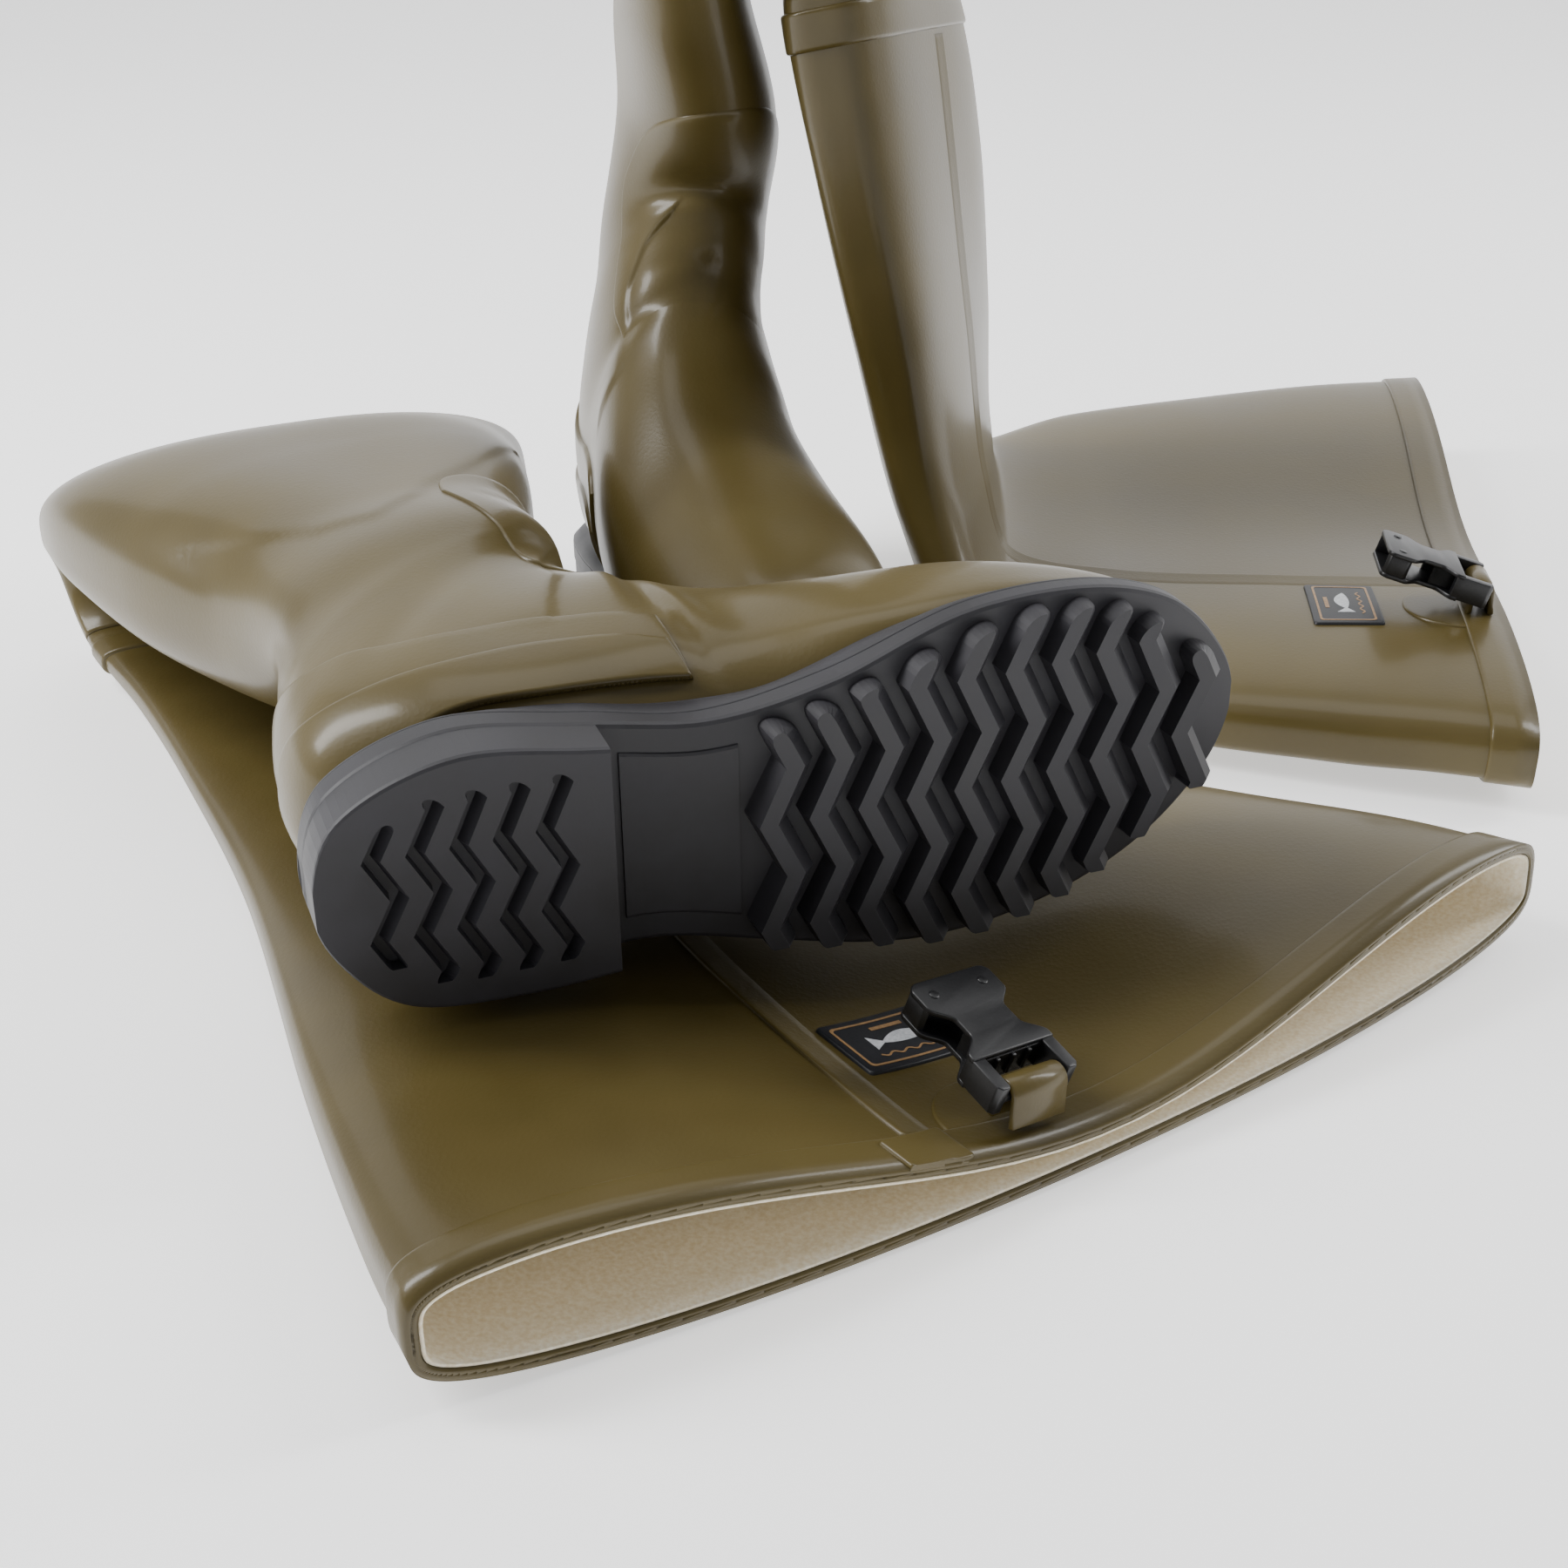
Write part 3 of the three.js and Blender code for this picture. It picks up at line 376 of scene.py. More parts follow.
# %% Olive rubber
def olive_rubber():
    made, shader = new_material("natural_rubber_olive")
    place = add_node(made, "ShaderNodeTexCoord").outputs["Object"]
    slow = add_node(
        made, "ShaderNodeTexNoise", {"Vector": place, "Scale": per_metre(90), "Detail": 3, "Roughness": 0.5}
    )
    tint = add_node(made, "ShaderNodeValToRGB", {0: slow.outputs["Fac"]})
    tint.color_ramp.elements[0].position = 0.35
    tint.color_ramp.elements[0].color = linear("#4a3f1d")
    tint.color_ramp.elements[1].position = 0.7
    tint.color_ramp.elements[1].color = linear("#594d28")
    feed(made, shader, "Base Color", tint.outputs["Color"])
    # The real grain is about 0.3 mm wide; 0.8 mm is the finest that shows.
    grain = add_node(
        made, "ShaderNodeTexNoise", {"Vector": place, "Scale": per_metre(0.8), "Detail": 2, "Roughness": 0.6}
    )
    pebble = add_node(made, "ShaderNodeTexVoronoi", {"Vector": place, "Scale": per_metre(1.6)})
    blend = add_node(
        made, "ShaderNodeMath", {0: grain.outputs["Fac"], 1: pebble.outputs["Distance"]}, operation="MULTIPLY"
    )
    bump = add_node(
        made, "ShaderNodeBump", {"Height": blend.outputs[0], "Strength": 0.4, "Distance": 0.16 * MM}
    )
    feed(made, shader, "Normal", bump.outputs["Normal"])
    gloss = add_node(
        made, "ShaderNodeMapRange", {0: slow.outputs["Fac"], 1: 0.3, 2: 0.7, 3: 0.36, 4: 0.46}
    )
    feed(made, shader, "Roughness", gloss.outputs[0])
    shader.inputs["IOR"].default_value = 1.5
    shader.inputs["Specular IOR Level"].default_value = 0.25
    # The cured lacquer: a thin clear skin with a tighter highlight than the rubber under it.
    shader.inputs["Coat Weight"].default_value = 0.3
    shader.inputs["Coat Roughness"].default_value = 0.17
    return made


# %% [markdown]
# ### Moulded black rubber
# The sole and the strip round it are a carbon-filled rubber from a steel mould: charcoal rather than
# black, matt, with a slight orange-peel skin.

# %% Sole rubber
def sole_rubber():
    made, shader = new_material("moulded_rubber_charcoal")
    place = add_node(made, "ShaderNodeTexCoord").outputs["Object"]
    cloud = add_node(
        made, "ShaderNodeTexNoise", {"Vector": place, "Scale": per_metre(28), "Detail": 4, "Roughness": 0.6}
    )
    tint = add_node(made, "ShaderNodeValToRGB", {0: cloud.outputs["Fac"]})
    tint.color_ramp.elements[0].position = 0.3
    tint.color_ramp.elements[0].color = linear("#252427")
    tint.color_ramp.elements[1].position = 0.75
    tint.color_ramp.elements[1].color = linear("#313035")
    feed(made, shader, "Base Color", tint.outputs["Color"])
    skin = add_node(
        made, "ShaderNodeTexNoise", {"Vector": place, "Scale": per_metre(0.9), "Detail": 3, "Roughness": 0.6}
    )
    bump = add_node(
        made, "ShaderNodeBump", {"Height": skin.outputs["Fac"], "Strength": 0.25, "Distance": 0.1 * MM}
    )
    feed(made, shader, "Normal", bump.outputs["Normal"])
    gloss = add_node(made, "ShaderNodeMapRange", {0: cloud.outputs["Fac"], 1: 0.3, 2: 0.7, 3: 0.46, 4: 0.58})
    feed(made, shader, "Roughness", gloss.outputs[0])
    shader.inputs["IOR"].default_value = 1.5
    return made


# %% [markdown]
# ### Unbleached cotton jersey
# The lining is a knit bonded to the rubber: cream, quite matt, with fine ribs that run along the leg and
# a soft fuzz that lights up at grazing angles.

# %% Cotton lining
def cotton_jersey():
    made, shader = new_material("cotton_jersey_unbleached")
    around = add_node(made, "ShaderNodeTexCoord").outputs["UV"]
    place = add_node(made, "ShaderNodeTexCoord").outputs["Object"]
    # A wale of the knit is about 1 mm; 1.6 mm is the finest that shows.
    wales = add_node(
        made, "ShaderNodeTexWave",
        {"Vector": around, "Scale": per_metre(1.6) / 20, "Distortion": 1.5, "Detail": 2},
    )
    fuzz = add_node(made, "ShaderNodeTexNoise", {"Vector": place, "Scale": per_metre(1.4), "Detail": 4})
    mixed = add_node(
        made, "ShaderNodeMath", {0: wales.outputs["Fac"], 1: fuzz.outputs["Fac"]}, operation="ADD"
    )
    bump = add_node(
        made, "ShaderNodeBump", {"Height": mixed.outputs[0], "Strength": 0.5, "Distance": 0.35 * MM}
    )
    feed(made, shader, "Normal", bump.outputs["Normal"])
    tint = add_node(made, "ShaderNodeValToRGB", {0: fuzz.outputs["Fac"]})
    tint.color_ramp.elements[0].position = 0.3
    tint.color_ramp.elements[0].color = linear("#e2d3b2")
    tint.color_ramp.elements[1].position = 0.7
    tint.color_ramp.elements[1].color = linear("#f4ecd9")
    feed(made, shader, "Base Color", tint.outputs["Color"])
    shader.inputs["Roughness"].default_value = 0.95
    shader.inputs["Sheen Weight"].default_value = 0.3
    return made


# %% [markdown]
# ### Acetal, vinyl, bronze print and board
# The buckle is injection-moulded acetal: black with a satin gloss from the mould. The badge is a soft
# moulded vinyl with a thin printed bronze border, and the footbed is pressed board under a thin felt.

# %% Small finishes
def speckled(name, dark, light, speck, bump_depth, roughness):
    """A finish with a fine mottle of two colours and a bump of the same grain."""
    made, shader = new_material(name)
    place = add_node(made, "ShaderNodeTexCoord").outputs["Object"]
    grain = add_node(made, "ShaderNodeTexNoise", {"Vector": place, "Scale": per_metre(speck), "Detail": 3})
    tint = add_node(made, "ShaderNodeValToRGB", {0: grain.outputs["Fac"]})
    tint.color_ramp.elements[0].position = 0.35
    tint.color_ramp.elements[0].color = linear(dark)
    tint.color_ramp.elements[1].position = 0.65
    tint.color_ramp.elements[1].color = linear(light)
    feed(made, shader, "Base Color", tint.outputs["Color"])
    bump = add_node(
        made, "ShaderNodeBump", {"Height": grain.outputs["Fac"], "Strength": 0.3, "Distance": bump_depth * MM}
    )
    feed(made, shader, "Normal", bump.outputs["Normal"])
    shader.inputs["Roughness"].default_value = roughness
    return made


OLIVE = olive_rubber()
SOLE = sole_rubber()
COTTON = cotton_jersey()
ACETAL = speckled("acetal_black", "#141415", "#1b1b1d", 0.8, 0.05, 0.34)
VINYL = speckled("soft_vinyl_black", "#15161a", "#1c1d22", 0.7, 0.08, 0.42)
BRONZE = speckled("bronze_print", "#8a6a45", "#a37f55", 1.2, 0.03, 0.4)
SILVER = speckled("silver_print", "#b9bcc0", "#d5d7da", 1.2, 0.03, 0.4)
BOARD = speckled("pressed_board", "#a8906a", "#bda681", 1.5, 0.2, 0.9)
print("finishes:", ", ".join(m.name for m in bpy.data.materials))

# %% [markdown]
# ## The rubber tube
# The foot and shaft are one dipped-looking piece, and the leg is a softer tube butted to it under a
# band below the knee. Both are the skin sampled about every 2 to 4 mm with a 2 mm wall. A cloth
# simulation would suit a thin loose fabric. This rubber is thick, holds its shape as laid and folds in few
# places, so its creases are given one by one and pushed in or out along the skin's own way out.

# %% Soft shape of the rubber
RUBBER_WALL = 2.0
LINING_GAP = 0.3
LINING_WALL = 1.0


def crease(u, turn, at_u, at_turn, long_u, wide_turn, slant, height):
    """A soft ridge (or, below zero, a dent) across the skin, slanted in u over the turn."""
    away = (turn - at_turn + math.pi) % (2 * math.pi) - math.pi
    along = (u - at_u - slant * away) / long_u
    return height * np.exp(-(along**2)) * np.exp(-((away / wide_turn) ** 2))


PER_STATION, PER_RADIAN = 32, 52  # millimetres of skin for a station along and a radian round, on a boot
STEP_SOFT = 1.3  # millimetres over which a covered edge rises
STEP_TAIL = 8  # millimetres over which it dies away past its ends


def sheet_edge(u, turn, line, height, fade):
    """The raised edge of a sheet laid under the skin along a line, thinning out over fade millimetres."""
    at = np.stack(np.broadcast_arrays(u * PER_STATION, turn * PER_RADIAN), -1)
    line = np.array(line) * np.array([PER_STATION, PER_RADIAN])
    nearest = np.full(at.shape[:-1], 1e9)
    raised = np.zeros(at.shape[:-1])
    for i, (a, b) in enumerate(zip(line, line[1:])):
        along, long = unit(b - a), math.dist(a, b)
        t = (at - a) @ along
        held = np.clip(t, 0, long)
        away = np.linalg.norm(at - a - held[..., None] * along, axis=-1)
        across = (at - a) @ np.array([-along[1], along[0]])
        past = np.maximum(-t, 0) * (i == 0) + np.maximum(t - long, 0) * (i == len(line) - 2)
        signed = np.sign(across) * away
        step = 0.5 * (1 + np.tanh(signed / STEP_SOFT)) * np.exp(-((np.maximum(signed, 0) / fade) ** 2))
        step = step * np.exp(-((past / STEP_TAIL) ** 2))
        raised = np.where(away < nearest, step, raised)
        nearest = np.minimum(away, nearest)
    return raised * height


def softness(skin, u, turn):
    """How far the rubber stands off the plain skin, in millimetres."""
    outer = skin["outer"]
    lift = np.zeros(np.broadcast(u, turn).shape)
    for at_u, at_turn, long_u, wide_turn, slant, height in skin["creases"]:
        lift = lift + crease(u, turn, at_u, at_turn * outer, long_u, wide_turn, slant * outer, height)
    wrapped = (turn + math.pi) % (2 * math.pi) - math.pi
    for line, height, fade in skin["edges"]:
        places = [(station_at, math.radians(degrees) * outer) for station_at, degrees in line]
        lift = lift + sheet_edge(u, wrapped, places, height, fade)
    return lift


def skin_points(skin, u, turn, lift=0.0):
    """Points off the skin by lift millimetres, creases included."""
    u, turn = np.broadcast_arrays(u, turn)
    off = softness(skin, u, turn) + lift
    return surface(skin, u, turn) + outward(skin, u, turn) * off[..., None]


def tube(name, skin, start, end, spacing, columns, depth, wall, material):
    """A closed tube wall between two places along the skin, its outer face at a depth under the skin."""
    u = rows_between(skin, start, end, spacing)[:, None]
    turn = turns_round(columns)[None, :]
    outer, inner = skin_points(skin, u, turn, -depth), skin_points(skin, u, turn, -depth - wall)
    points, faces = shell(outer, inner)
    return mesh_object(name, to_frame(points), faces, material)


# %% Where the creases and the inner sheets' edges are
# A crease is (station, turn to the outer side in radians, reach, reach round, slant, height).
ANKLE_FOLDS = [
    (6.35, -1.0, 0.35, 0.4, 0.6, 2.2),
    (5.95, -1.15, 0.22, 0.4, 0.6, -1.6),
    (5.6, -1.3, 0.2, 0.4, 0.6, 1.4),
]
SHAFT_FOLDS = [
    (10.2, -0.9, 1.1, 0.5, -0.8, 1.6),
    (12.3, -1.5, 0.9, 0.45, 0.9, -1.5),
    (8.3, -1.9, 0.5, 0.4, 0.5, -1.2),
]
STANDING_FOLDS = [
    (8.6, -0.22, 1.0, 0.35, 0, 2.2),
    (10.6, 0, 0.5, 0.8, 0.3, -1.8),
    (7.0, 0.6, 0.5, 0.35, 0.5, -1.3),
    (12.8, 0.3, 0.5, 0.7, 0.2, 1.4),
]
UPPER_LEG_FOLD = (17.6, 1.2, 0.5, 0.7, 0.3, -1.0)
LEG_FOLDS = [(19.4, 1.6, 0.7, 0.6, -0.5, 0.9), (21.5, 1.1, 0.5, 0.5, 0.4, -0.8)]
waders["left"]["creases"] = ANKLE_FOLDS + SHAFT_FOLDS + [UPPER_LEG_FOLD] + LEG_FOLDS
waders["right"]["creases"] = STANDING_FOLDS + LEG_FOLDS
# The sheets inside the boot show through as low steps, along lines of (station, degrees).
SHAFT_STAY = [(12.4, -152), (11.3, -118), (11.05, -95), (11.3, -76), (12.28, -48), (13.24, -20)]
FRONT_PANEL = [(9.5, -25), (8.0, -43), (7.08, -58), (6.84, -84)]
VAMP_END = [(5.62, -92), (5.54, -117), (5.38, -140)]
TONGUE = [(10.16, 22), (9.2, 34), (8.2, 39), (5.9, 40), (5.86, 58)]
waders["left"]["edges"] = [(SHAFT_STAY, -0.9, 18), (FRONT_PANEL, 0.9, 16), (VAMP_END, 0.9, 14)]
waders["right"]["edges"] = [(TONGUE, 0.9, 14)]

# %% The foot, shaft, leg and lining
KNEE_BUTT = 0.01  # half the gap between shaft and leg, in stations
RIM_STEP = 0.012  # how far the lining stops short of the top edge, in stations
pieces = {}


def keep(side, part, made, replaced=(), body="waders"):
    """Puts a piece on its body and notes what it stands for."""
    for node in replaced:
        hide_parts(f"{side}_{node}")
    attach(made, body)
    pieces[f"{side} {part}"] = made
    return made


def toe_closed_tube(name, skin, end, spacing, columns, material):
    """The foot and shaft: a tube wall whose toe end is drawn in over a round nose."""
    u = rows_between(skin, 0, end, spacing)[:, None]
    turn = turns_round(columns)[None, :]
    outer, inner = skin_points(skin, u, turn), skin_points(skin, u, turn, -RUBBER_WALL)
    nose = []
    centre = outer[0].mean(0)
    ahead = unit(centre - outer[6].mean(0))
    for tuck in np.linspace(0.03, 1, 9):
        angle = tuck * math.pi / 2
        nose.append(centre + (outer[0] - centre) * max(math.cos(angle), 0.02) + ahead * 4 * math.sin(angle))
    outer = np.concatenate([np.array(nose[::-1]), outer])
    inner = np.concatenate([np.repeat(inner[:1] * 0.5 + inner[:1].mean(1, keepdims=True) * 0.5, 9, 0), inner])
    points, faces = shell(outer, inner)
    return mesh_object(name, to_frame(points), faces, material)


for side, w in waders.items():
    boot = toe_closed_tube(f"{side}_foot_and_shaft", w, w["knee"] - KNEE_BUTT, 2.2, 200, OLIVE)
    keep(side, "foot and shaft", boot, ["foot_upper", "shaft"])
    leg = tube(f"{side}_leg", w, w["knee"] + KNEE_BUTT, w["top"], 3.2, 220, 0, RUBBER_WALL, OLIVE)
    keep(side, "leg", leg, ["thigh_tube"])
    sleeve = tube(
        f"{side}_cotton_sleeve", w, ANKLE, w["top"] - RIM_STEP, 5, 160,
        RUBBER_WALL + LINING_GAP, LINING_WALL, COTTON,
    )
    keep(side, "cotton sleeve", sleeve, ["leg_lining"])
    for node, finish in (("foot_lining", COTTON), ("footbed", BOARD)):
        kept = frame["nodes"][f"{side}_{node}"]
        kept.data.materials.clear()
        kept.data.materials.append(finish)
    print(side, "rubber:", len(boot.data.polygons) + len(leg.data.polygons), "faces")

# %% [markdown]
# ## Reinforcements, bands and the seam
# Each is its own thin sheet vulcanised onto the tube, so its edge is a small rounded step. A sheet is a
# grid over the skin whose border dips just under the rubber, which leaves only the step to be seen.

# %% Sheets laid on the rubber
EDGE_STEPS = (0, 0.25, 0.6, 1.1, 1.8)  # millimetres in from the border where a sheet rounds over
BORDER_SINK = 0.35
SHEET_DEPTH = 0.8  # how far a sheet reaches down into the rubber it is bonded to
BAND_COLUMNS = 220


def rounded_height(from_border, thick, soft=1.5):
    """The height of a sheet near its border: sunk at the border, full inside."""
    x = np.clip(from_border / soft, 0, 1)
    return -BORDER_SINK + (thick + BORDER_SINK) * np.sqrt(1 - (1 - x) ** 2)


def laid_sheet(name, skin, u, turn, from_border, thick, material, soft=1.5, feather=1.0):
    """A closed sheet over grids of u and turn; from_border is each point's distance to the border."""
    height = (rounded_height(from_border, thick, soft) + BORDER_SINK) * feather - BORDER_SINK
    top = skin_points(skin, u, turn, height)
    bottom = skin_points(skin, u, turn, np.minimum(height, 0) - SHEET_DEPTH)
    points, faces = plate(top, bottom)
    return mesh_object(name, to_frame(points), faces, material)


def band(name, skin, start, end, thick, material, soft=1.5, columns=BAND_COLUMNS, over_rim=False):
    """A closed band round the tube between two grids of places along it."""
    turn = turns_round(columns)[None, :]
    width = np.linalg.norm(surface(skin, end, turn) - surface(skin, start, turn), axis=-1)[0]
    inset = np.array([*EDGE_STEPS, 4])
    from_start = np.concatenate([inset, [width.mean() / 2]])
    rows = [start + (end - start) * (d / width)[None, :] for d in from_start]
    heights = [np.full(columns, rounded_height(d, thick, soft)) for d in from_start]
    if over_rim:
        rows.append(end + 0 * turn)
        heights.append(np.full(columns, thick))
    else:
        for d in from_start[-2::-1]:
            rows.append(end - (end - start) * (d / width)[None, :])
            heights.append(np.full(columns, rounded_height(d, thick, soft)))
    u = np.concatenate(rows)
    height = np.array(heights)
    outer = skin_points(skin, u, turn, height)
    inner = skin_points(skin, u, turn, np.minimum(height, 0) - SHEET_DEPTH)
    points, faces = shell(outer, inner)
    return mesh_object(name, to_frame(points), faces, material)


TOP_BAND_WIDTH = 18
TOP_BAND_WALL = 1.5
KNEE_BAND_WIDTH = 16
KNEE_BAND_WALL = 1.3
KNEE_BAND_FROM = 0.15  # stations past the knee joint
for side, w in waders.items():
    turn = turns_round(BAND_COLUMNS)[None, :]
    top = np.full((1, BAND_COLUMNS), float(w["top"]))
    start = top - step_for(w, top, turn, TOP_BAND_WIDTH)
    hem = band(f"{side}_hem_binding", w, start, top, TOP_BAND_WALL, OLIVE, over_rim=True)
    keep(side, "hem binding", hem, ["top_band"])
    start = np.full((1, BAND_COLUMNS), w["knee"] + KNEE_BAND_FROM)
    end = start + step_for(w, start + 0.25, turn, KNEE_BAND_WIDTH)
    knee = band(f"{side}_knee_tape", w, start, end, KNEE_BAND_WALL, OLIVE)
    keep(side, "knee tape", knee, ["knee_band"])

# %% [markdown]
# ### Heel counter, foxing and shin guard
# On the real boot these are cut sheets, so each is given by the line of its edge. Its other side runs out
# under the welt or thins away into the rubber.

# %% Sheets between two lines on the skin
def rail(points, count, fineness=400):
    """Evenly spaced places (u, turn) on a smooth line through given (u, degrees) points."""
    line = np.array(points, float)
    fine = through(line, np.linspace(0, len(line) - 1, fineness))
    # About 30 mm of skin go to a station and 45 mm to a radian where these lines run.
    hop = np.hypot(np.diff(fine[:, 0]) * 30, np.radians(np.diff(fine[:, 1])) * 45)
    walked = np.concatenate([[0], np.cumsum(hop)])
    step = np.arange(fineness)
    at = np.interp(np.linspace(0, walked[-1], count), walked, step)
    return np.interp(at, step, fine[:, 0]), np.radians(np.interp(at, step, fine[:, 1]))


def mirrored(points):
    """A line on one side of the leg and on round the back (180 degrees) to the same places on the other."""
    return points + [(u, -360 - turn) for u, turn in points[::-1][1:]]


def lined_sheet(name, skin, edge, far, thick, material, soft=1.5, columns=160, rows=14, fade=0):
    """A sheet from a visible edge line to a far line; its two ends are visible edges too.
    It thins out over the last fade millimetres before the far line."""
    (u0, t0), (u1, t1) = rail(edge, columns), rail(far, columns)
    t0, t1 = t0 * skin["outer"], t1 * skin["outer"]
    ends = surface(skin, u0, t0), surface(skin, u1, t1)
    width = np.linalg.norm(ends[0] - ends[1], axis=-1)
    length = np.linalg.norm(np.diff(ends[0], axis=0), axis=1).sum()
    inset = np.array(EDGE_STEPS) * soft / 1.5
    across = np.concatenate([inset / width.mean(), np.linspace(inset[-1] / width.mean(), 1, rows)[1:]])
    inside = np.linspace(inset[-1] / length, 1 - inset[-1] / length, columns)[1:-1]
    along = np.concatenate([inset / length, inside, 1 - inset[::-1] / length])
    place = along * (columns - 1)
    column = np.arange(columns)
    u0, t0, u1, t1, width = (np.interp(place, column, x) for x in (u0, t0, u1, t1, width))
    a = across[:, None]
    u, turn = u0 + (u1 - u0) * a, t0 + (t1 - t0) * a
    from_border = np.minimum(a * width, np.minimum(along, 1 - along)[None, :] * length)
    feather = smoothstep((1 - a) * width / fade) if fade else 1.0
    return laid_sheet(name, skin, u, turn, from_border, thick, material, soft, feather)


HEEL_EDGE = [(5.8, -92), (6.2, -88), (6.9, -91), (7.5, -101), (8.56, -121), (9.45, -157), (9.6, -180)]
HEEL_HIDDEN = [(5.6, -136), (6.0, -136), (6.5, -138), (7.0, -142), (7.3, -150), (7.5, -165), (7.55, -180)]
FOXING_EDGE = [(5.75, -114), (6.2, -108), (6.8, -110), (7.3, -119), (8.0, -135), (8.65, -160), (8.8, -180)]
GUARD_EDGE = [(11.3, -66), (11.75, -62), (12.0, -52), (12.12, -38), (12.18, -20), (12.2, 0)]
GUARD_FOOT = [(6.3, -40), (6.1, -20), (6.0, 0), (6.1, 20), (6.3, 40)]
for side, w in waders.items():
    counter = lined_sheet(
        f"{side}_heel_counter_sheet", w, mirrored(HEEL_EDGE), mirrored(HEEL_HIDDEN), 1.7, OLIVE, soft=1.6
    )
    keep(side, "heel counter", counter, ["heel_counter"])
    foxing = lined_sheet(
        f"{side}_heel_foxing", w, mirrored(FOXING_EDGE), mirrored(HEEL_HIDDEN), 3.2, OLIVE, soft=1.8
    )
    keep(side, "heel foxing", foxing)
    guard = lined_sheet(
        f"{side}_shin_guard_sheet", w, GUARD_EDGE + [(u, -turn) for u, turn in GUARD_EDGE[::-1][1:]],
        GUARD_FOOT, 1.0, OLIVE, soft=1.6, rows=60, fade=26,
    )
    keep(side, "shin guard", guard, ["shin_guard"])

# %% [markdown]
# ### The seam up the leg
# A leg is a flat sheet rolled into a tube, with one edge lapped over the other and rolled down. What shows
# is one small step on the upper sheet's edge and a long soft slope on the other side.

# %% The leg's overlapped seam
SEAM_WIDTH = 12
SEAM_STEP = 1.1
for side, w in waders.items():
    start = w["knee"] + KNEE_BAND_FROM + step_for(w, w["knee"] + 0.4, 0.0, KNEE_BAND_WIDTH) + 0.02
    end_turn = w["outer"] * math.acos(w["seam_at"])
    stop = w["top"] - step_for(w, float(w["top"]), end_turn, TOP_BAND_WIDTH - 1)
    u = rows_between(w, start, stop, 2.5)[:, None]
    share = np.minimum((u - start) / (stop - start) * 2, 1)
    middle = w["seam_from"] + (w["seam_at"] - w["seam_from"]) * share
    breadth = np.linalg.norm(surface(w, u, 0.0) - surface(w, u, math.pi), axis=-1)
    # A steep step on the side towards the back edge, and a long feathered side towards the front.
    across = np.array([0, 0.15, 0.5, 1.0, 2.5, 5, 8, 11, SEAM_WIDTH])
    raised = np.array([-BORDER_SINK, 0.75, SEAM_STEP, SEAM_STEP, 0.9, 0.6, 0.3, 0, -BORDER_SINK])
    turn = w["outer"] * np.arccos(np.clip(middle + (across - SEAM_WIDTH / 2)[None, :] * 2 / breadth, -1, 1))
    height = np.broadcast_to(raised, turn.shape)
    top = skin_points(w, u, turn, height)
    bottom = skin_points(w, u, turn, np.minimum(height, 0) - SHEET_DEPTH)
    points, faces = plate(top, bottom)
    seam = mesh_object(f"{side}_seam_overlap", to_frame(points), faces, OLIVE)
    keep(side, "seam overlap", seam, ["leg_seam"])
print("sheets and seams laid")

# %% [markdown]
# ## The sole
# A rubber sole is moulded in one: a plate with a rolled edge, ten zigzag cleats with rounded inner ends,
# and a thicker heel with zigzag grooves. Each cleat is a small loft across the foot, steep on its heel
# side and sloped on its toe side, and a bevel gives every edge the small radius that a mould leaves.

# %% The sole's outline and levels
SOLE_LENGTH = 296
HEEL_LENGTH = 86
LUG_DEPTH = 8
SOLE_PLATE = 7
TOE_SPRING = 11
SPRING_START = 205
SOLE_OUTLINE = np.array([
    (0, 2), (9, 27.5), (42, 41), (82, 36), (118, 31), (155, 39), (197, 54), (236, 55), (268, 44.5), (289, 24),
    (296, 4), (288, -18), (262, -39), (225, -52), (185, -56), (140, -47.5), (100, -40), (60, -41), (25, -37),
    (6, -19),
], float)


def closed_curve(points, count):
    """Points of a smooth closed curve through a ring of points."""
    n = len(points)
    u = np.linspace(0, n, count, endpoint=False)
    i = u.astype(int)
    f = (u - i)[:, None]
    p0, p1, p2, p3 = (points[(i + k) % n] for k in (-1, 0, 1, 2))
    t0, t1 = (p2 - p0) / 2, (p3 - p1) / 2
    return p1 + t0 * f + (3 * (p2 - p1) - 2 * t0 - t1) * f**2 + (2 * (p1 - p2) + t0 + t1) * f**3


outline = closed_curve(SOLE_OUTLINE, 400)
outline[:, 0] = np.clip(outline[:, 0], 0, SOLE_LENGTH)
inner_half, outer_half = outline[outline[:, 1] >= 2], outline[outline[:, 1] <= 4]


def reach(x, side):
    """How far the sole reaches to its inner (1) or outer (-1) side at x."""
    half = inner_half if side > 0 else outer_half
    order = np.argsort(half[:, 0])
    return np.interp(x, half[order, 0], half[order, 1])


def toe_spring(x):
    return TOE_SPRING * np.maximum((x - SPRING_START) / (SOLE_LENGTH - SPRING_START), 0) ** 2


def plate_bottom(x):
    return LUG_DEPTH + 7 * smoothstep((165 - x) / 70) + toe_spring(x)


def plate_top(x):
    return LUG_DEPTH + SOLE_PLATE + 9 * smoothstep((190 - x) / 120) + toe_spring(x)


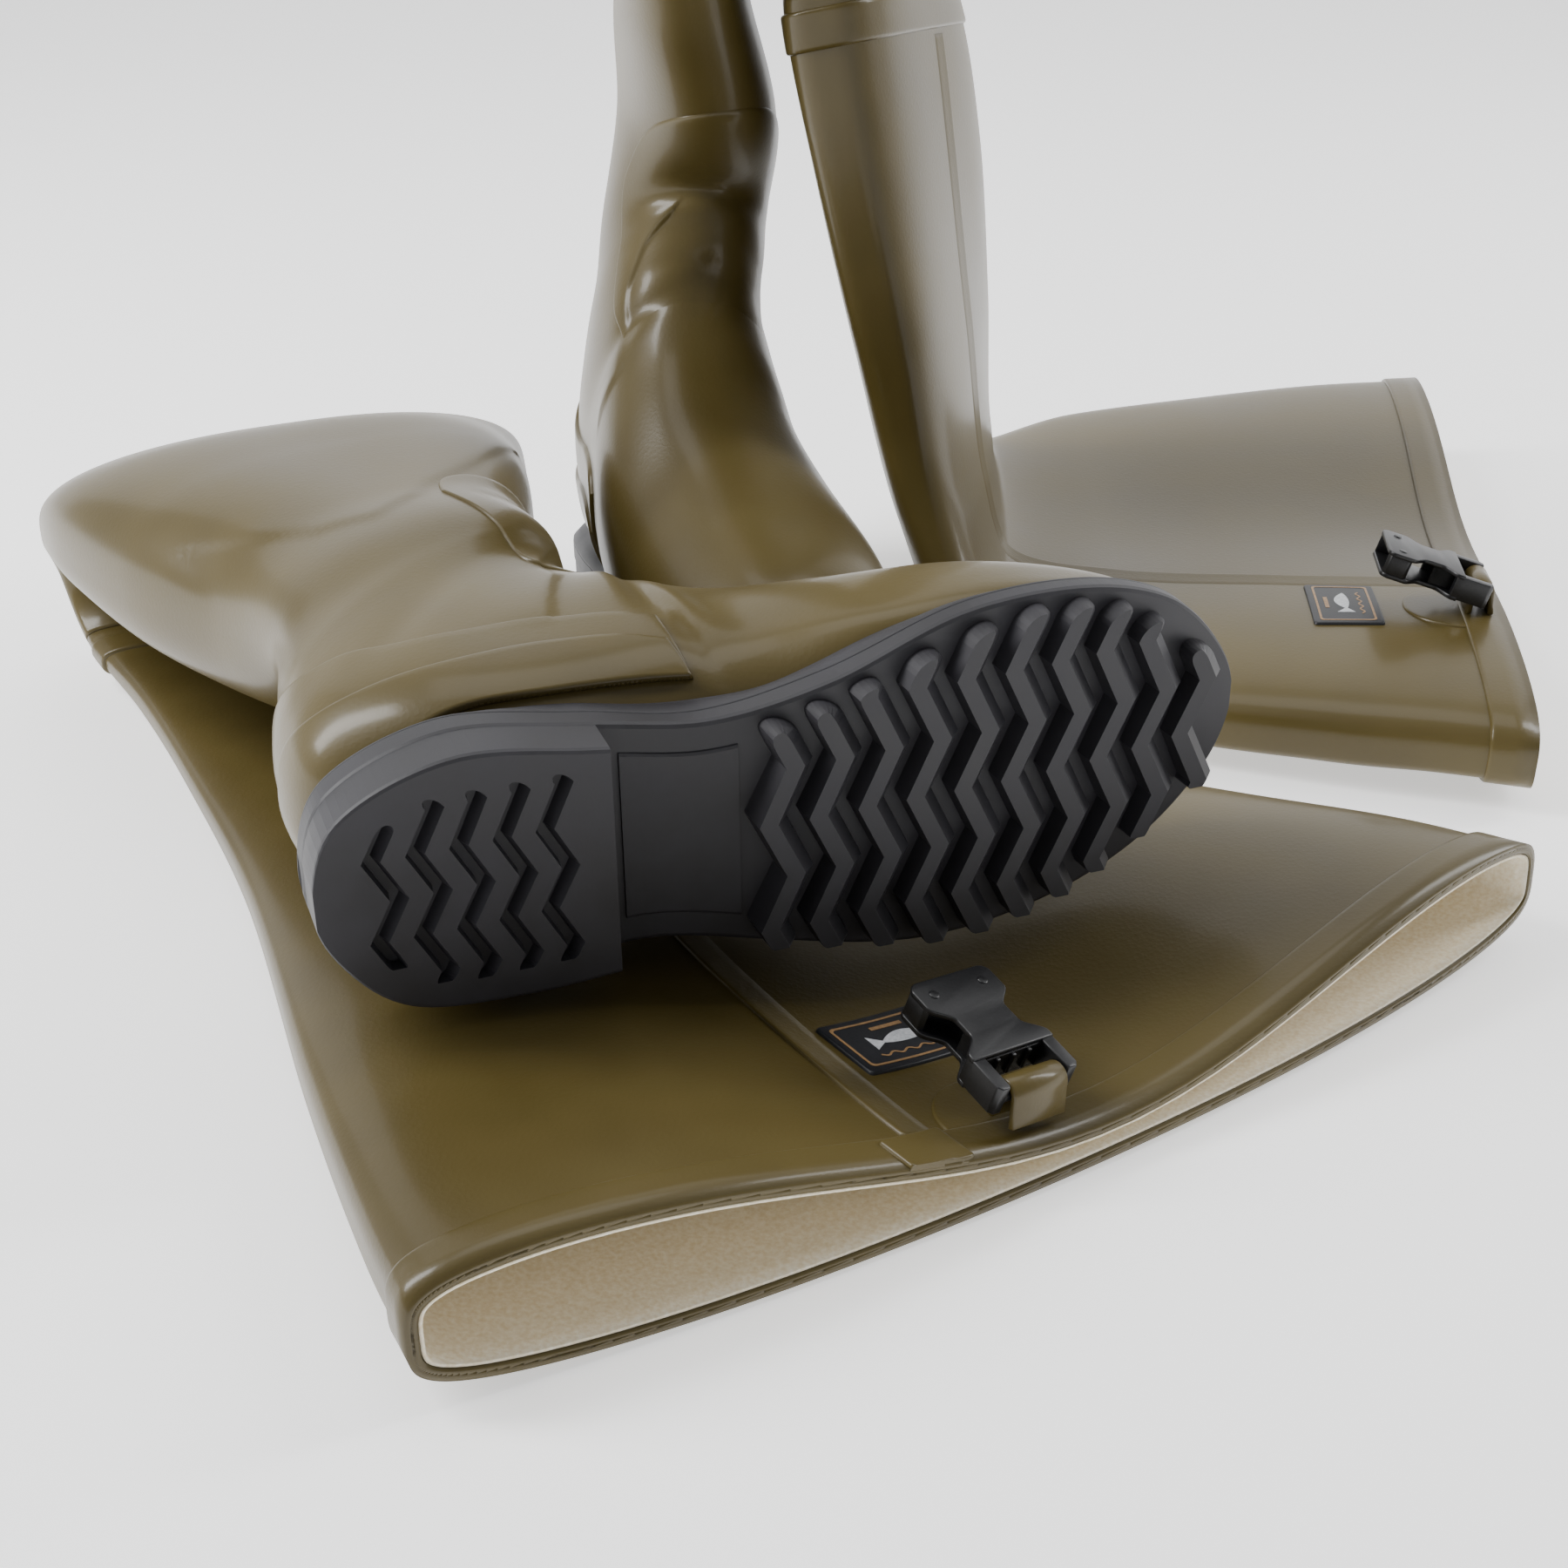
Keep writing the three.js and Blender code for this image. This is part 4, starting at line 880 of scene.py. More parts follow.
# %% Blocks of the sole
def sole_block(xs, bottom, top, inset, edge):
    """A closed block across the sole with a rounded lower edge, in the boot's own millimetres."""
    rings = []
    for x in xs:
        low, high = reach(x, -1) + inset, reach(x, 1) - inset
        middle, half = (low + high) / 2, max((high - low) / 2, 0.4)
        e = min(edge, half * 0.7)
        b, t = bottom(x), top(x)
        y = np.concatenate([np.linspace(-half + e, half - e, 9), [half - 0.3 * e, half, half, half - 0.5]])
        z = np.concatenate([np.full(9, b), [b + 0.3 * e, b + e, t - 0.6, t]])
        back = [-half + 0.5, -half, -half, -half + 0.3 * e]
        y = np.concatenate([y, np.linspace(half - e, -half + e, 7), back])
        z = np.concatenate([z, np.full(7, t), [t, t - 0.6, b + e, b + 0.3 * e]])
        rings.append(np.stack([np.full(len(y), x), middle + y, z], -1))
    return np.array(rings)


def capped(rings):
    """Vertices and faces of a loft through rings, closed by a face at each end."""
    count, n = rings.shape[:2]
    faces = [tuple(f) for f in grid_faces(count, n)]
    faces.append(tuple(range(n - 1, -1, -1)))
    faces.append(tuple((count - 1) * n + j for j in range(n)))
    return rings.reshape(-1, 3), faces


def zigzag_bar(x, pitch, swing, low, high, profile, start=0, round_inner=4.5, round_outer=1.2):
    """A bar across the sole from low to high in y. profile is its cross-section as (x, z) from its middle."""
    turns = np.arange(math.ceil((low + 1) / pitch), math.floor((high - 1) / pitch) + 1) * pitch
    inner = high - round_inner * (1 - np.cos(np.linspace(0, math.pi / 2, 6)))[::-1]
    outer = low + round_outer * (1 - np.cos(np.linspace(0, math.pi / 2, 4)))
    turns = turns[(turns > outer[-1] + 1) & (turns < inner[0] - 1)]
    ys = np.unique(np.concatenate([turns, inner, outer]))
    rings = []
    for y in ys:
        k = y / pitch + start
        wave = swing * (1 - 2 * abs((k % 2) - 1))
        tight = 1.0
        if y > high - round_inner:
            tight = math.sqrt(max(1 - ((y - high + round_inner) / round_inner) ** 2, 0.004))
        elif y < low + round_outer:
            tight = 1 - 0.25 * ((low + round_outer - y) / round_outer) ** 2
        rings.append([(x + wave + px * tight, y, pz) for px, pz in profile])
    return np.array(rings)


def joined(parts):
    """One list of points and faces from several (points, faces)."""
    points, faces, base = [], [], 0
    for p, f in parts:
        points.append(p)
        faces += [tuple(base + i for i in face) for face in f]
        base += len(p)
    return np.concatenate(points), faces


def facing_out(points, faces):
    """The same faces, turned to face outwards."""
    volume = 0
    for f in faces:
        for a, b in zip(f[1:-1], f[2:]):
            volume += np.dot(points[f[0]], np.cross(points[a], points[b]))
    return [f[::-1] for f in faces] if volume < 0 else faces


def loose_object(name, points, faces, material, smooth=False):
    """An object from points in the frame's metres and faces of any number of corners."""
    mesh = bpy.data.meshes.new(name)
    mesh.from_pydata(np.asarray(points).tolist(), [], faces)
    mesh.polygons.foreach_set("use_smooth", [smooth] * len(mesh.polygons))
    mesh.materials.append(material)
    made = bpy.data.objects.new(name, mesh)
    bpy.context.scene.collection.objects.link(made)
    return made


def bevelled(obj, width, segments=2, angle=28):
    """Rounds the edges sharper than an angle in degrees, by a width in millimetres."""
    bevel = obj.modifiers.new("edge_radius", "BEVEL")
    bevel.width = width * MM
    bevel.segments = segments
    bevel.limit_method = "ANGLE"
    bevel.angle_limit = math.radians(angle)


def boot_part(name, skin, parts, material):
    """An object from parts given in the boot's own millimetres, inner side +Y."""
    made = []
    for rings in parts:
        rings = rings * np.array([1, skin["inner"], 1])
        points, faces = capped(rings)
        points = to_frame(from_boot(skin["boot"], points))
        made.append((points, facing_out(points - points.mean(0), faces)))
    points, faces = joined(made)
    return loose_object(name, points, faces, material)


# %% Cleats and heel grooves
LUG_FIRST = 138
LUG_PITCH = 15.4
LUG_COUNT = 10
LUG_WIDTH = 9.6
LUG_SWING = 4.2
LUG_ZIG = 18
GROOVE_FIRST = 20
GROOVE_PITCH = 12.2
GROOVE_COUNT = 5
GROOVE_SWING = 3.4
GROOVE_ZIG = 13


def lug_parts():
    bars = []
    for i in range(LUG_COUNT):
        x = LUG_FIRST + i * LUG_PITCH
        near = np.array([x - 7, x, x + 7])
        low, high = reach(near, -1).max() + 2.6, reach(near, 1).min() - 2.6
        tread, root = float(toe_spring(x)), float(plate_bottom(x)) + 1
        half = LUG_WIDTH / 2
        profile = [(-half - 0.5, root), (-half + 0.2, tread), (0.25 * half, tread)]
        profile += [(half + 0.4, tread + 4.5), (half + 1.2, root)]
        bars.append(zigzag_bar(x, LUG_ZIG, LUG_SWING, low, high, profile))
    return bars


def groove_parts():
    cuts = []
    for i in range(GROOVE_COUNT):
        x = GROOVE_FIRST + i * GROOVE_PITCH
        low, high = float(reach(x - 5, -1)) + 8, float(reach(x - 5, 1)) - 8
        low, high = max(low, -31), min(high, 30)
        profile = [(-1.8, 5.0), (-2.3, -1), (3.6, -1), (1.2, 5.0)]
        cuts.append(zigzag_bar(x, GROOVE_ZIG, GROOVE_SWING, low, high, profile, 1, 3.2, 1.6))
    return cuts


def spaced(start, end, count):
    """Places from start to end, closer together at both ends."""
    return start + (end - start) * (1 - np.cos(np.linspace(0, math.pi, count))) / 2


# %% Sole and heel block
for side, w in waders.items():
    plate_xs = spaced(0.6, SOLE_LENGTH - 0.6, 120)
    heel_xs = np.concatenate([spaced(0.6, 40, 24)[:-1], np.linspace(40, HEEL_LENGTH, 12)])
    waist = sole_block(np.linspace(92, 127, 14), lambda x: plate_bottom(x) - 0.9, plate_top, 9, 1.2)
    body = boot_part(
        f"{side}_sole", w,
        [sole_block(plate_xs, plate_bottom, plate_top, 0, 1.6), waist] + lug_parts(), SOLE,
    )
    bevelled(body, 0.45)
    block = sole_block(heel_xs, lambda x: 0.0, lambda x: plate_top(x) - 2, 0.5, 1.4)
    heel = boot_part(f"{side}_heel_block", w, [block], SOLE)
    cutter = boot_part(f"{side}_heel_cutter", w, groove_parts(), SOLE)
    cut = heel.modifiers.new("grooves", "BOOLEAN")
    cut.operation = "DIFFERENCE"
    cut.solver = "EXACT"
    cut.object = cutter
    bpy.context.view_layer.update()
    done = bpy.data.meshes.new_from_object(heel.evaluated_get(bpy.context.evaluated_depsgraph_get()))
    heel.modifiers.clear()
    heel.data = done
    bpy.data.objects.remove(cutter)
    bevelled(heel, 0.4)
    keep(side, "sole", body, ["outsole"])
    keep(side, "heel block", heel)
    print(side, "sole:", len(body.data.polygons), "faces, heel:", len(heel.data.polygons))

# %% [markdown]
# ### The strip round the foot
# A black strip is wrapped round the join of upper and sole. Its foot stands on the sole's rim and its
# top edge hugs the rubber, which is found by looking in from the outline towards the foot.

# %% Welt strip
WELT_HEIGHT = 9.5
WELT_PROFILE = (  # share of the way up, share of the lean inwards, thickness outwards in millimetres
    (0, 0, 0), (0.1, 0.02, 0.25), (0.5, 0.3, 0.5), (0.86, 0.72, 0.6), (0.9, 0.78, 0.25), (0.94, 0.84, 0.7),
    (1.0, 0.95, 0.5), (1.02, 1.02, -0.6), (0.9, 1.1, -2.0), (0, 0.6, -4.5),
)


def welt_strip(side, skin):
    """The strip: a closed loop of profiles that lean in as far as the foot is away."""
    rubber = pieces[f"{side} foot and shaft"]
    points = np.array([v.co for v in rubber.data.vertices], float)
    own = into_boot(skin["boot"], points / MM + LAYOUT_ORIGIN)
    corners = [tuple(p.vertices) for p in rubber.data.polygons]
    tree = BVHTree.FromPolygons([Vector(p) for p in own], corners)
    ring = closed_curve(SOLE_OUTLINE, 260)
    tangent = unit(np.roll(ring, -1, 0) - np.roll(ring, 1, 0))
    inward = np.stack([tangent[:, 1], -tangent[:, 0]], -1)
    if ((ring.mean(0) - ring) * inward).sum() < 0:
        inward = -inward
    lean = np.full(len(ring), 6.0)
    for i, (p, n) in enumerate(zip(ring, inward)):
        z = float(plate_top(np.clip(p[0], 0, SOLE_LENGTH))) + WELT_HEIGHT
        start, way = (p[0], p[1] * skin["inner"], z), (n[0], n[1] * skin["inner"], 0)
        hit = tree.ray_cast(Vector(start), Vector(way), 30)
        if hit[0] is not None:
            lean[i] = hit[3]
    for _ in range(12):
        lean = (np.roll(lean, 1) + 2 * lean + np.roll(lean, -1)) / 4
    base = plate_top(np.clip(ring[:, 0], 0, SOLE_LENGTH))
    rows = []
    for up, leaning, thick in WELT_PROFILE:
        shift = np.minimum(lean, 14) * leaning - thick + 0.15
        flat = ring + inward * shift[:, None]
        rows.append(np.column_stack([flat[:, 0], flat[:, 1] * skin["inner"], base - 0.3 + up * WELT_HEIGHT]))
    loop = np.array(rows)
    count, cols = loop.shape[:2]
    faces = [tuple(f) for f in grid_faces(count, cols)]
    last = (count - 1) * cols
    faces += [(last + j, last + (j + 1) % cols, (j + 1) % cols, j) for j in range(cols)]
    points = to_frame(from_boot(skin["boot"], loop.reshape(-1, 3)))
    return mesh_object(f"{side}_welt", points, faces, SOLE)


for side, w in waders.items():
    keep(side, "welt", welt_strip(side, w), ["welt_strip"])

# %% [markdown]
# ## Buckle, loop, patch and badge
# A short rubber strap comes up through the end window of a side-release buckle, goes over its bar and is
# vulcanised down under the hem on a half-round patch. The hinge's own place and axis say where the bar is.
# The moulded buckle is put together from overlapping closed blocks, and a bevel rounds all their edges.

# %% Where the hardware sits
BADGE_FROM_SEAM = 0.15  # share of half the flat width
BAR_FROM_EDGE = 11
STRAP_WIDTH = 21
STRAP_WALL = 2.2
BAR_RADIUS = 2.2
BAR_HEIGHT = 9
LOOP_CLEARANCE = 0.4
BUCKLE_TILT = 16  # degrees the mouth is lifted off the leg
joints = {j["name"]: j for j in frame["joints"]}


def badge_turn(skin):
    return skin["outer"] * math.acos(skin["seam_at"] + BADGE_FROM_SEAM)


def place_on(skin, from_edge):
    """A frame on the skin this far from its top edge: x towards the boot, z out."""
    turn = badge_turn(skin)
    u = skin["top"] - float(step_for(skin, float(skin["top"]), turn, from_edge))
    out = outward(skin, u, turn)
    ahead = surface(skin, u - 0.1, turn) - surface(skin, min(u + 0.1, skin["top"]), turn)
    x = unit(ahead - out * (ahead @ out))
    return {"at": surface(skin, u, turn), "axes": np.array([x, np.cross(out, x), out]), "u": u, "turn": turn}


def bar_frame(side, skin):
    """The frame of the buckle's bar, in the layout's millimetres."""
    joint = joints[f"{side}_buckle_hinge"]
    at = np.array(joint["pos_m"]) / MM + LAYOUT_ORIGIN
    y = unit(-np.array(joint["axis"], float))
    out = place_on(skin, BAR_FROM_EDGE)["axes"][2]
    z = unit(out - y * (out @ y))
    return {"at": at, "axes": np.array([np.cross(y, z), y, z])}


def tilted(place, degrees):
    """The frame turned about its own y so that its x end lifts."""
    c, s = math.cos(math.radians(degrees)), math.sin(math.radians(degrees))
    x, y, z = place["axes"]
    return {"at": place["at"], "axes": np.array([x * c + z * s, y, z * c - x * s])}


def in_place(place, points):
    """Points of a place's own frame in the frame's metres."""
    return to_frame(place["at"] + np.asarray(points, float) @ place["axes"])


# %% Side-release buckle
BUCKLE_LENGTH = 44
BUCKLE_WIDTH = 31
BUCKLE_THICK = 11
BUCKLE_WALL = 1.8
BUCKLE_WAIST = 19
WINDOW_LENGTH = 7.5


def half_width(x):
    """Half the buckle's width at x: wide over its window, a narrow waist, wide again at its mouth."""
    half, waist = BUCKLE_WIDTH / 2, BUCKLE_WAIST / 2
    into = smoothstep((x - 12) / 7)
    out = smoothstep((x - 25) / 7)
    return half - (half - waist) * (into - out * 0.94)


def prism(outline, low, high):
    """A closed prism over a ring of (x, y) points."""
    n = len(outline)
    points = np.array([(x, y, z) for z in (low, high) for x, y in outline], float)
    faces = [tuple(range(n - 1, -1, -1)), tuple(range(n, 2 * n))]
    faces += [(i, (i + 1) % n, n + (i + 1) % n, n + i) for i in range(n)]
    return points, faces


def box_prism(x0, x1, y0, y1, z0, z1):
    return prism([(x0, y0), (x1, y0), (x1, y1), (x0, y1)], z0, z1)


def round_bar(radius, half, steps=20):
    """A closed bar along y."""
    turns = [2 * math.pi * i / steps for i in range(steps)]
    ring = [(radius * math.cos(a), radius * math.sin(a)) for a in turns]
    points = np.array([(x, y, z) for y in (-half, half) for x, z in ring])
    faces = [tuple(range(steps - 1, -1, -1)), tuple(range(steps, 2 * steps))]
    faces += [(i, (i + 1) % steps, steps + (i + 1) % steps, steps + i) for i in range(steps)]
    return points, faces


def buckle(side, place):
    """The socket half: window frame and bar, a ribbed bridge, roof and floor, and a rounded mouth."""
    inner, half, top = STRAP_WIDTH / 2 + 0.6, BUCKLE_WIDTH / 2, BUCKLE_THICK / 2
    roof, end = top - BUCKLE_WALL, BUCKLE_LENGTH - BAR_RADIUS
    window = BAR_RADIUS + WINDOW_LENGTH
    bridge = window + BUCKLE_WALL
    xs = np.linspace(window + 0.2, end, 36)
    side_line = [(x, float(half_width(x))) for x in xs[:-3]]
    side_line += [(end - 1.6, half - 0.9), (end - 0.5, half - 1.9), (end, half - 3.4)]
    ring = side_line + [(x, -y) for x, y in side_line[::-1]]
    parts = [prism(ring, roof, top), prism(ring, -top, -roof), round_bar(BAR_RADIUS, inner + 1)]
    parts.append(box_prism(window, bridge, -inner - 0.5, inner + 0.5, -roof - 0.3, roof + 0.3))
    waist = BUCKLE_WAIST / 2
    for y in (-1, 1):
        edge = [(-BAR_RADIUS, half - 1.2), (-0.6, half), (9, half), (bridge + 1.5, half - 0.2)]
        edge += [(bridge + 1.5, inner), (-1.2, inner), (-BAR_RADIUS, inner + 0.6)]
        parts.append(prism([(px, y * py) for px, py in edge], -top + 0.6, top - 0.6))
        wall = [(31.5, half - 1.9), (33, half - 0.5), (end - 1.6, half - 0.9), (end - 0.3, half - 3)]
        wall += [(end - 1.2, half - 3.2), (33, half - 2.6)]
        parts.append(prism([(px, y * py) for px, py in wall], -roof - 0.3, roof + 0.3))
        near = y * waist - 0.9
        far = y * waist + 0.9 - 1.8 * (y > 0)
        parts.append(box_prism(bridge - 0.4, 22, near, far, -roof - 0.2, roof + 0.2))
        bump = [(end - 6 + 1.7 * math.cos(a), y * (half - 6) + 1.7 * math.sin(a)) for a in turns_round(14)]
        parts.append(prism(bump, top - 0.4, top + 0.4))
    for y in (-inner + 5, 0, inner - 5):
        parts.append(box_prism(window - 1.1, window + 0.6, y - 0.8, y + 0.8, -roof, roof))
    points, faces = joined([(in_place(place, p), facing_out(p - p.mean(0), f)) for p, f in parts])
    made = loose_object(f"{side}_buckle_socket", points, faces, ACETAL, smooth=True)
    bevelled(made, 0.6, 3, 32)
    return made


def strap(side, place):
    """The rubber loop: a strap swept over the bar, its two ends sunk in the hem."""
    radius = BAR_RADIUS + LOOP_CLEARANCE
    foot = -BAR_HEIGHT + 0.3
    path = [(-radius - 0.6, foot - 0.6), (-radius - 0.2, foot * 0.5), (-radius, -1)]
    path += [(radius * math.cos(a), radius * math.sin(a)) for a in np.linspace(math.pi, 0, 15)]
    path += [(radius, -1), (radius + 0.2, foot * 0.5), (radius + 0.6, foot - 0.6)]
    path = np.array(path)
    tangent = unit(np.gradient(path, axis=0))
    out = np.stack([-tangent[:, 1], tangent[:, 0]], -1)
    half, wall = STRAP_WIDTH / 2, STRAP_WALL
    section = [(-half + 0.5, 0), (half - 0.5, 0), (half, 0.5), (half, wall - 0.6), (half - 0.6, wall)]
    section += [(0, wall + 0.12), (-half + 0.6, wall), (-half, wall - 0.6), (-half, 0.5)]
    rings = np.array([[(*(p + n * h), y) for y, h in section] for p, n in zip(path, out)])
    rings = rings[..., [0, 2, 1]]
    points, faces = capped(rings)
    faces = facing_out(points - points.mean(0), faces)
    made = loose_object(f"{side}_rubber_loop", in_place(place, points), faces, OLIVE, smooth=True)
    bevelled(made, 0.3, 2, 50)
    return made


# %% Badge and half-round patch
def on_skin(skin, place, x, y, lift):
    """Points at (x, y) millimetres on the skin round a place, lifted off it: x towards the boot."""
    u0, turn0 = place["u"], place["turn"]
    per_u = 1 / float(step_for(skin, u0, turn0, 1.0))
    d = 0.02
    per_turn = np.linalg.norm(surface(skin, u0, turn0 + d) - surface(skin, u0, turn0 - d)) / (2 * d)
    across = surface(skin, u0, turn0 + d) - surface(skin, u0, turn0 - d)
    way = np.sign(across @ place["axes"][1])
    guess_u = u0 - x / per_u
    guess_turn = turn0 + way * y / per_turn
    for _ in range(3):
        flat = (surface(skin, guess_u, guess_turn) - place["at"]) @ place["axes"].T
        guess_u = guess_u + (flat[..., 0] - x) / per_u
        guess_turn = guess_turn - way * (flat[..., 1] - y) / per_turn
    return skin_points(skin, guess_u, guess_turn, lift)


def laid_shape(name, skin, place, outline, thick, material, rings=10, lift=0.0):
    """A closed sheet with a rounded border, laid on the skin: outline is a ring of (x, y)."""
    ring = np.array(outline, float)
    centre = ring.mean(0)
    shares = np.concatenate([[1.0], 1 - np.array([0.012, 0.03, 0.06]), np.linspace(0.85, 0.02, rings)])
    heights = np.concatenate([[-BORDER_SINK, thick * 0.7, thick * 0.95, thick], np.full(rings, thick)])
    heights = heights + lift
    flat = centre + (ring - centre)[None] * shares[:, None, None]
    height = np.broadcast_to(heights[:, None], flat.shape[:2])
    top = on_skin(skin, place, flat[..., 0], flat[..., 1], height)
    n = len(ring)
    under = on_skin(skin, place, ring[:, 0], ring[:, 1], lift - 0.9)
    points = to_frame(np.concatenate([top.reshape(-1, 3), under]))
    count = len(shares)
    faces = [tuple(f) for f in grid_faces(count, n)]
    faces.append(tuple((count - 1) * n + j for j in range(n)))
    faces += [(count * n + j, count * n + (j + 1) % n, (j + 1) % n, j) for j in range(n)]
    faces.append(tuple(count * n + n - 1 - j for j in range(n)))
    return loose_object(name, points, facing_out(points - points.mean(0), faces), material, smooth=True)


def rounded_box(half_x, half_y, radius, steps=6, side_steps=14):
    """The outline of a rectangle with round corners and points along its sides."""
    ring = []
    for cx, cy, start in ((1, 1, 0), (-1, 1, 90), (-1, -1, 180), (1, -1, 270)):
        middle = cx * (half_x - radius), cy * (half_y - radius)
        for i in range(steps + 1):
            a = math.radians(start + 90 * i / steps)
            ring.append((middle[0] + radius * math.cos(a), middle[1] + radius * math.sin(a)))
    dense = []
    for p, q in zip(ring, ring[1:] + ring[:1]):
        n = max(int(math.dist(p, q) / (2 * half_y / side_steps)), 1)
        dense += [(p[0] + (q[0] - p[0]) * i / n, p[1] + (q[1] - p[1]) * i / n) for i in range(n)]
    return dense


def ribbon(line, width):
    """The outline of a strip of this width along a line of (x, y)."""
    line = np.array(line, float)
    tangent = unit(np.gradient(line, axis=0))
    normal = np.stack([-tangent[:, 1], tangent[:, 0]], -1) * width / 2
    return line + normal, line - normal


def printed(name, skin, place, left, right, lift, material):
    """A thin printed strip between two lines, just above the badge."""
    lift = np.full(len(left), lift)
    a = on_skin(skin, place, left[:, 0], left[:, 1], lift)
    b = on_skin(skin, place, right[:, 0], right[:, 1], lift)
    low_a = on_skin(skin, place, left[:, 0], left[:, 1], lift - 0.5)
    low_b = on_skin(skin, place, right[:, 0], right[:, 1], lift - 0.5)
    points, faces = plate(np.array([a, b]), np.array([low_a, low_b]))
    return mesh_object(name, to_frame(points), faces, material, smooth=False)


# %% The badge's print
BADGE_HALF_LENGTH = 22
BADGE_HALF_WIDTH = 14
BADGE_WALL = 1.1
BORDER_INSET = 2.8
BORDER_LINE = 0.9
PRINT_LIFT = BADGE_WALL + 0.12


def badge_print(side, skin, place):
    """A thin border, a plain bar, a fish and a wave."""
    made = []

    def strip(part, left, right, material):
        made.append(printed(f"{side}_badge_{part}", skin, place, left, right, PRINT_LIFT, material))

    half_x, half_y = BADGE_HALF_WIDTH - BORDER_INSET, BADGE_HALF_LENGTH - BORDER_INSET
    box = rounded_box(half_x, half_y, 1.6)
    edge = np.array(box + box[:1])
    strip("border", edge, edge * np.array([1 - BORDER_LINE / half_x, 1 - BORDER_LINE / half_y]), BRONZE)
    strip("bar", *ribbon([(7.0, y) for y in np.linspace(-6, 6, 9)], 1.6), BRONZE)
    t = np.linspace(0, 1, 26)
    y = -11 + 18 * t
    body = 2.9 * np.sin(math.pi * t) ** 0.8
    spine = -0.5 + 1.2 * np.sin(math.pi * t)
    strip("fish", np.column_stack([spine + body, y]), np.column_stack([spine - body, y]), SILVER)
    t = np.linspace(0, 1, 8)
    middle, spread, y = -0.5 + 0.5 * t, 3.6 * t, 5.8 + 5 * t
    strip("tail", np.column_stack([middle + spread, y]), np.column_stack([middle - spread, y]), SILVER)
    wave = [(-6.6 + 0.7 * math.sin(v * 1.1), v) for v in np.linspace(-12, 12, 40)]
    strip("wave", *ribbon(wave, 0.7), BRONZE)
    return made


# %% Buckles, loops, badges and patches in place
BADGE_FROM_EDGE = 60
PATCH_FROM_EDGE = 18
PATCH_RADIUS = 22
TAB_FROM_EDGE = 7.5
for side, w in waders.items():
    bar = bar_frame(side, w)
    socket = buckle(side, tilted(bar, BUCKLE_TILT))
    keep(side, "buckle", socket, ["buckle"], body=f"{side}_buckle_body")
    keep(side, "rubber loop", strap(side, bar), ["strap_loop"])
    place = place_on(w, BADGE_FROM_EDGE)
    outline = rounded_box(BADGE_HALF_WIDTH, BADGE_HALF_LENGTH, 1.4)
    badge = laid_shape(f"{side}_badge_plate", w, place, outline, BADGE_WALL, VINYL)
    keep(side, "badge", badge, ["badge"])
    for piece in badge_print(side, w, place):
        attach(piece, "waders")
    place = place_on(w, PATCH_FROM_EDGE)
    outline = [(PATCH_RADIUS * math.sin(a), PATCH_RADIUS * math.cos(a)) for a in np.linspace(0, math.pi, 40)]
    outline += [(-2, y) for y in np.linspace(-PATCH_RADIUS, PATCH_RADIUS, 16)]
    patch = laid_shape(f"{side}_half_round_patch", w, place, outline, 0.8, OLIVE)
    keep(side, "half-round patch", patch, ["buckle_patch"])
    tab_at = dict(place_on(w, TAB_FROM_EDGE), turn=w["outer"] * math.acos(w["seam_at"] - 0.03))
    tab_at["at"] = surface(w, tab_at["u"], tab_at["turn"])
    tab = laid_shape(f"{side}_hem_overlap", w, tab_at, rounded_box(8, 11, 1), 1.2, OLIVE, lift=TOP_BAND_WALL)
    keep(side, "hem overlap", tab)
    print(side, "buckle bar at", [round(x, 4) for x in to_frame(bar["at"])])

# %% [markdown]
# ## The stage
# A pale seamless floor, soft studio light from large panels, and the camera low in front of the pair.

# %% Floor and light
def floor_finish():
    made, shader = new_material("matt_white_paper")
    place = add_node(made, "ShaderNodeTexCoord").outputs["Object"]
    fibre = add_node(made, "ShaderNodeTexNoise", {"Vector": place, "Scale": per_metre(3), "Detail": 2})
    bump = add_node(
        made, "ShaderNodeBump", {"Height": fibre.outputs["Fac"], "Strength": 0.05, "Distance": 0.05 * MM}
    )
    feed(made, shader, "Normal", bump.outputs["Normal"])
    shader.inputs["Base Color"].default_value = linear("#f6f6f6")
    shader.inputs["Roughness"].default_value = 0.85
    # Paper on a lightbox: it glows a little, so it stays white round the shadows.
    shader.inputs["Emission Color"].default_value = linear("#ffffff")
    shader.inputs["Emission Strength"].default_value = 0.8
    return made


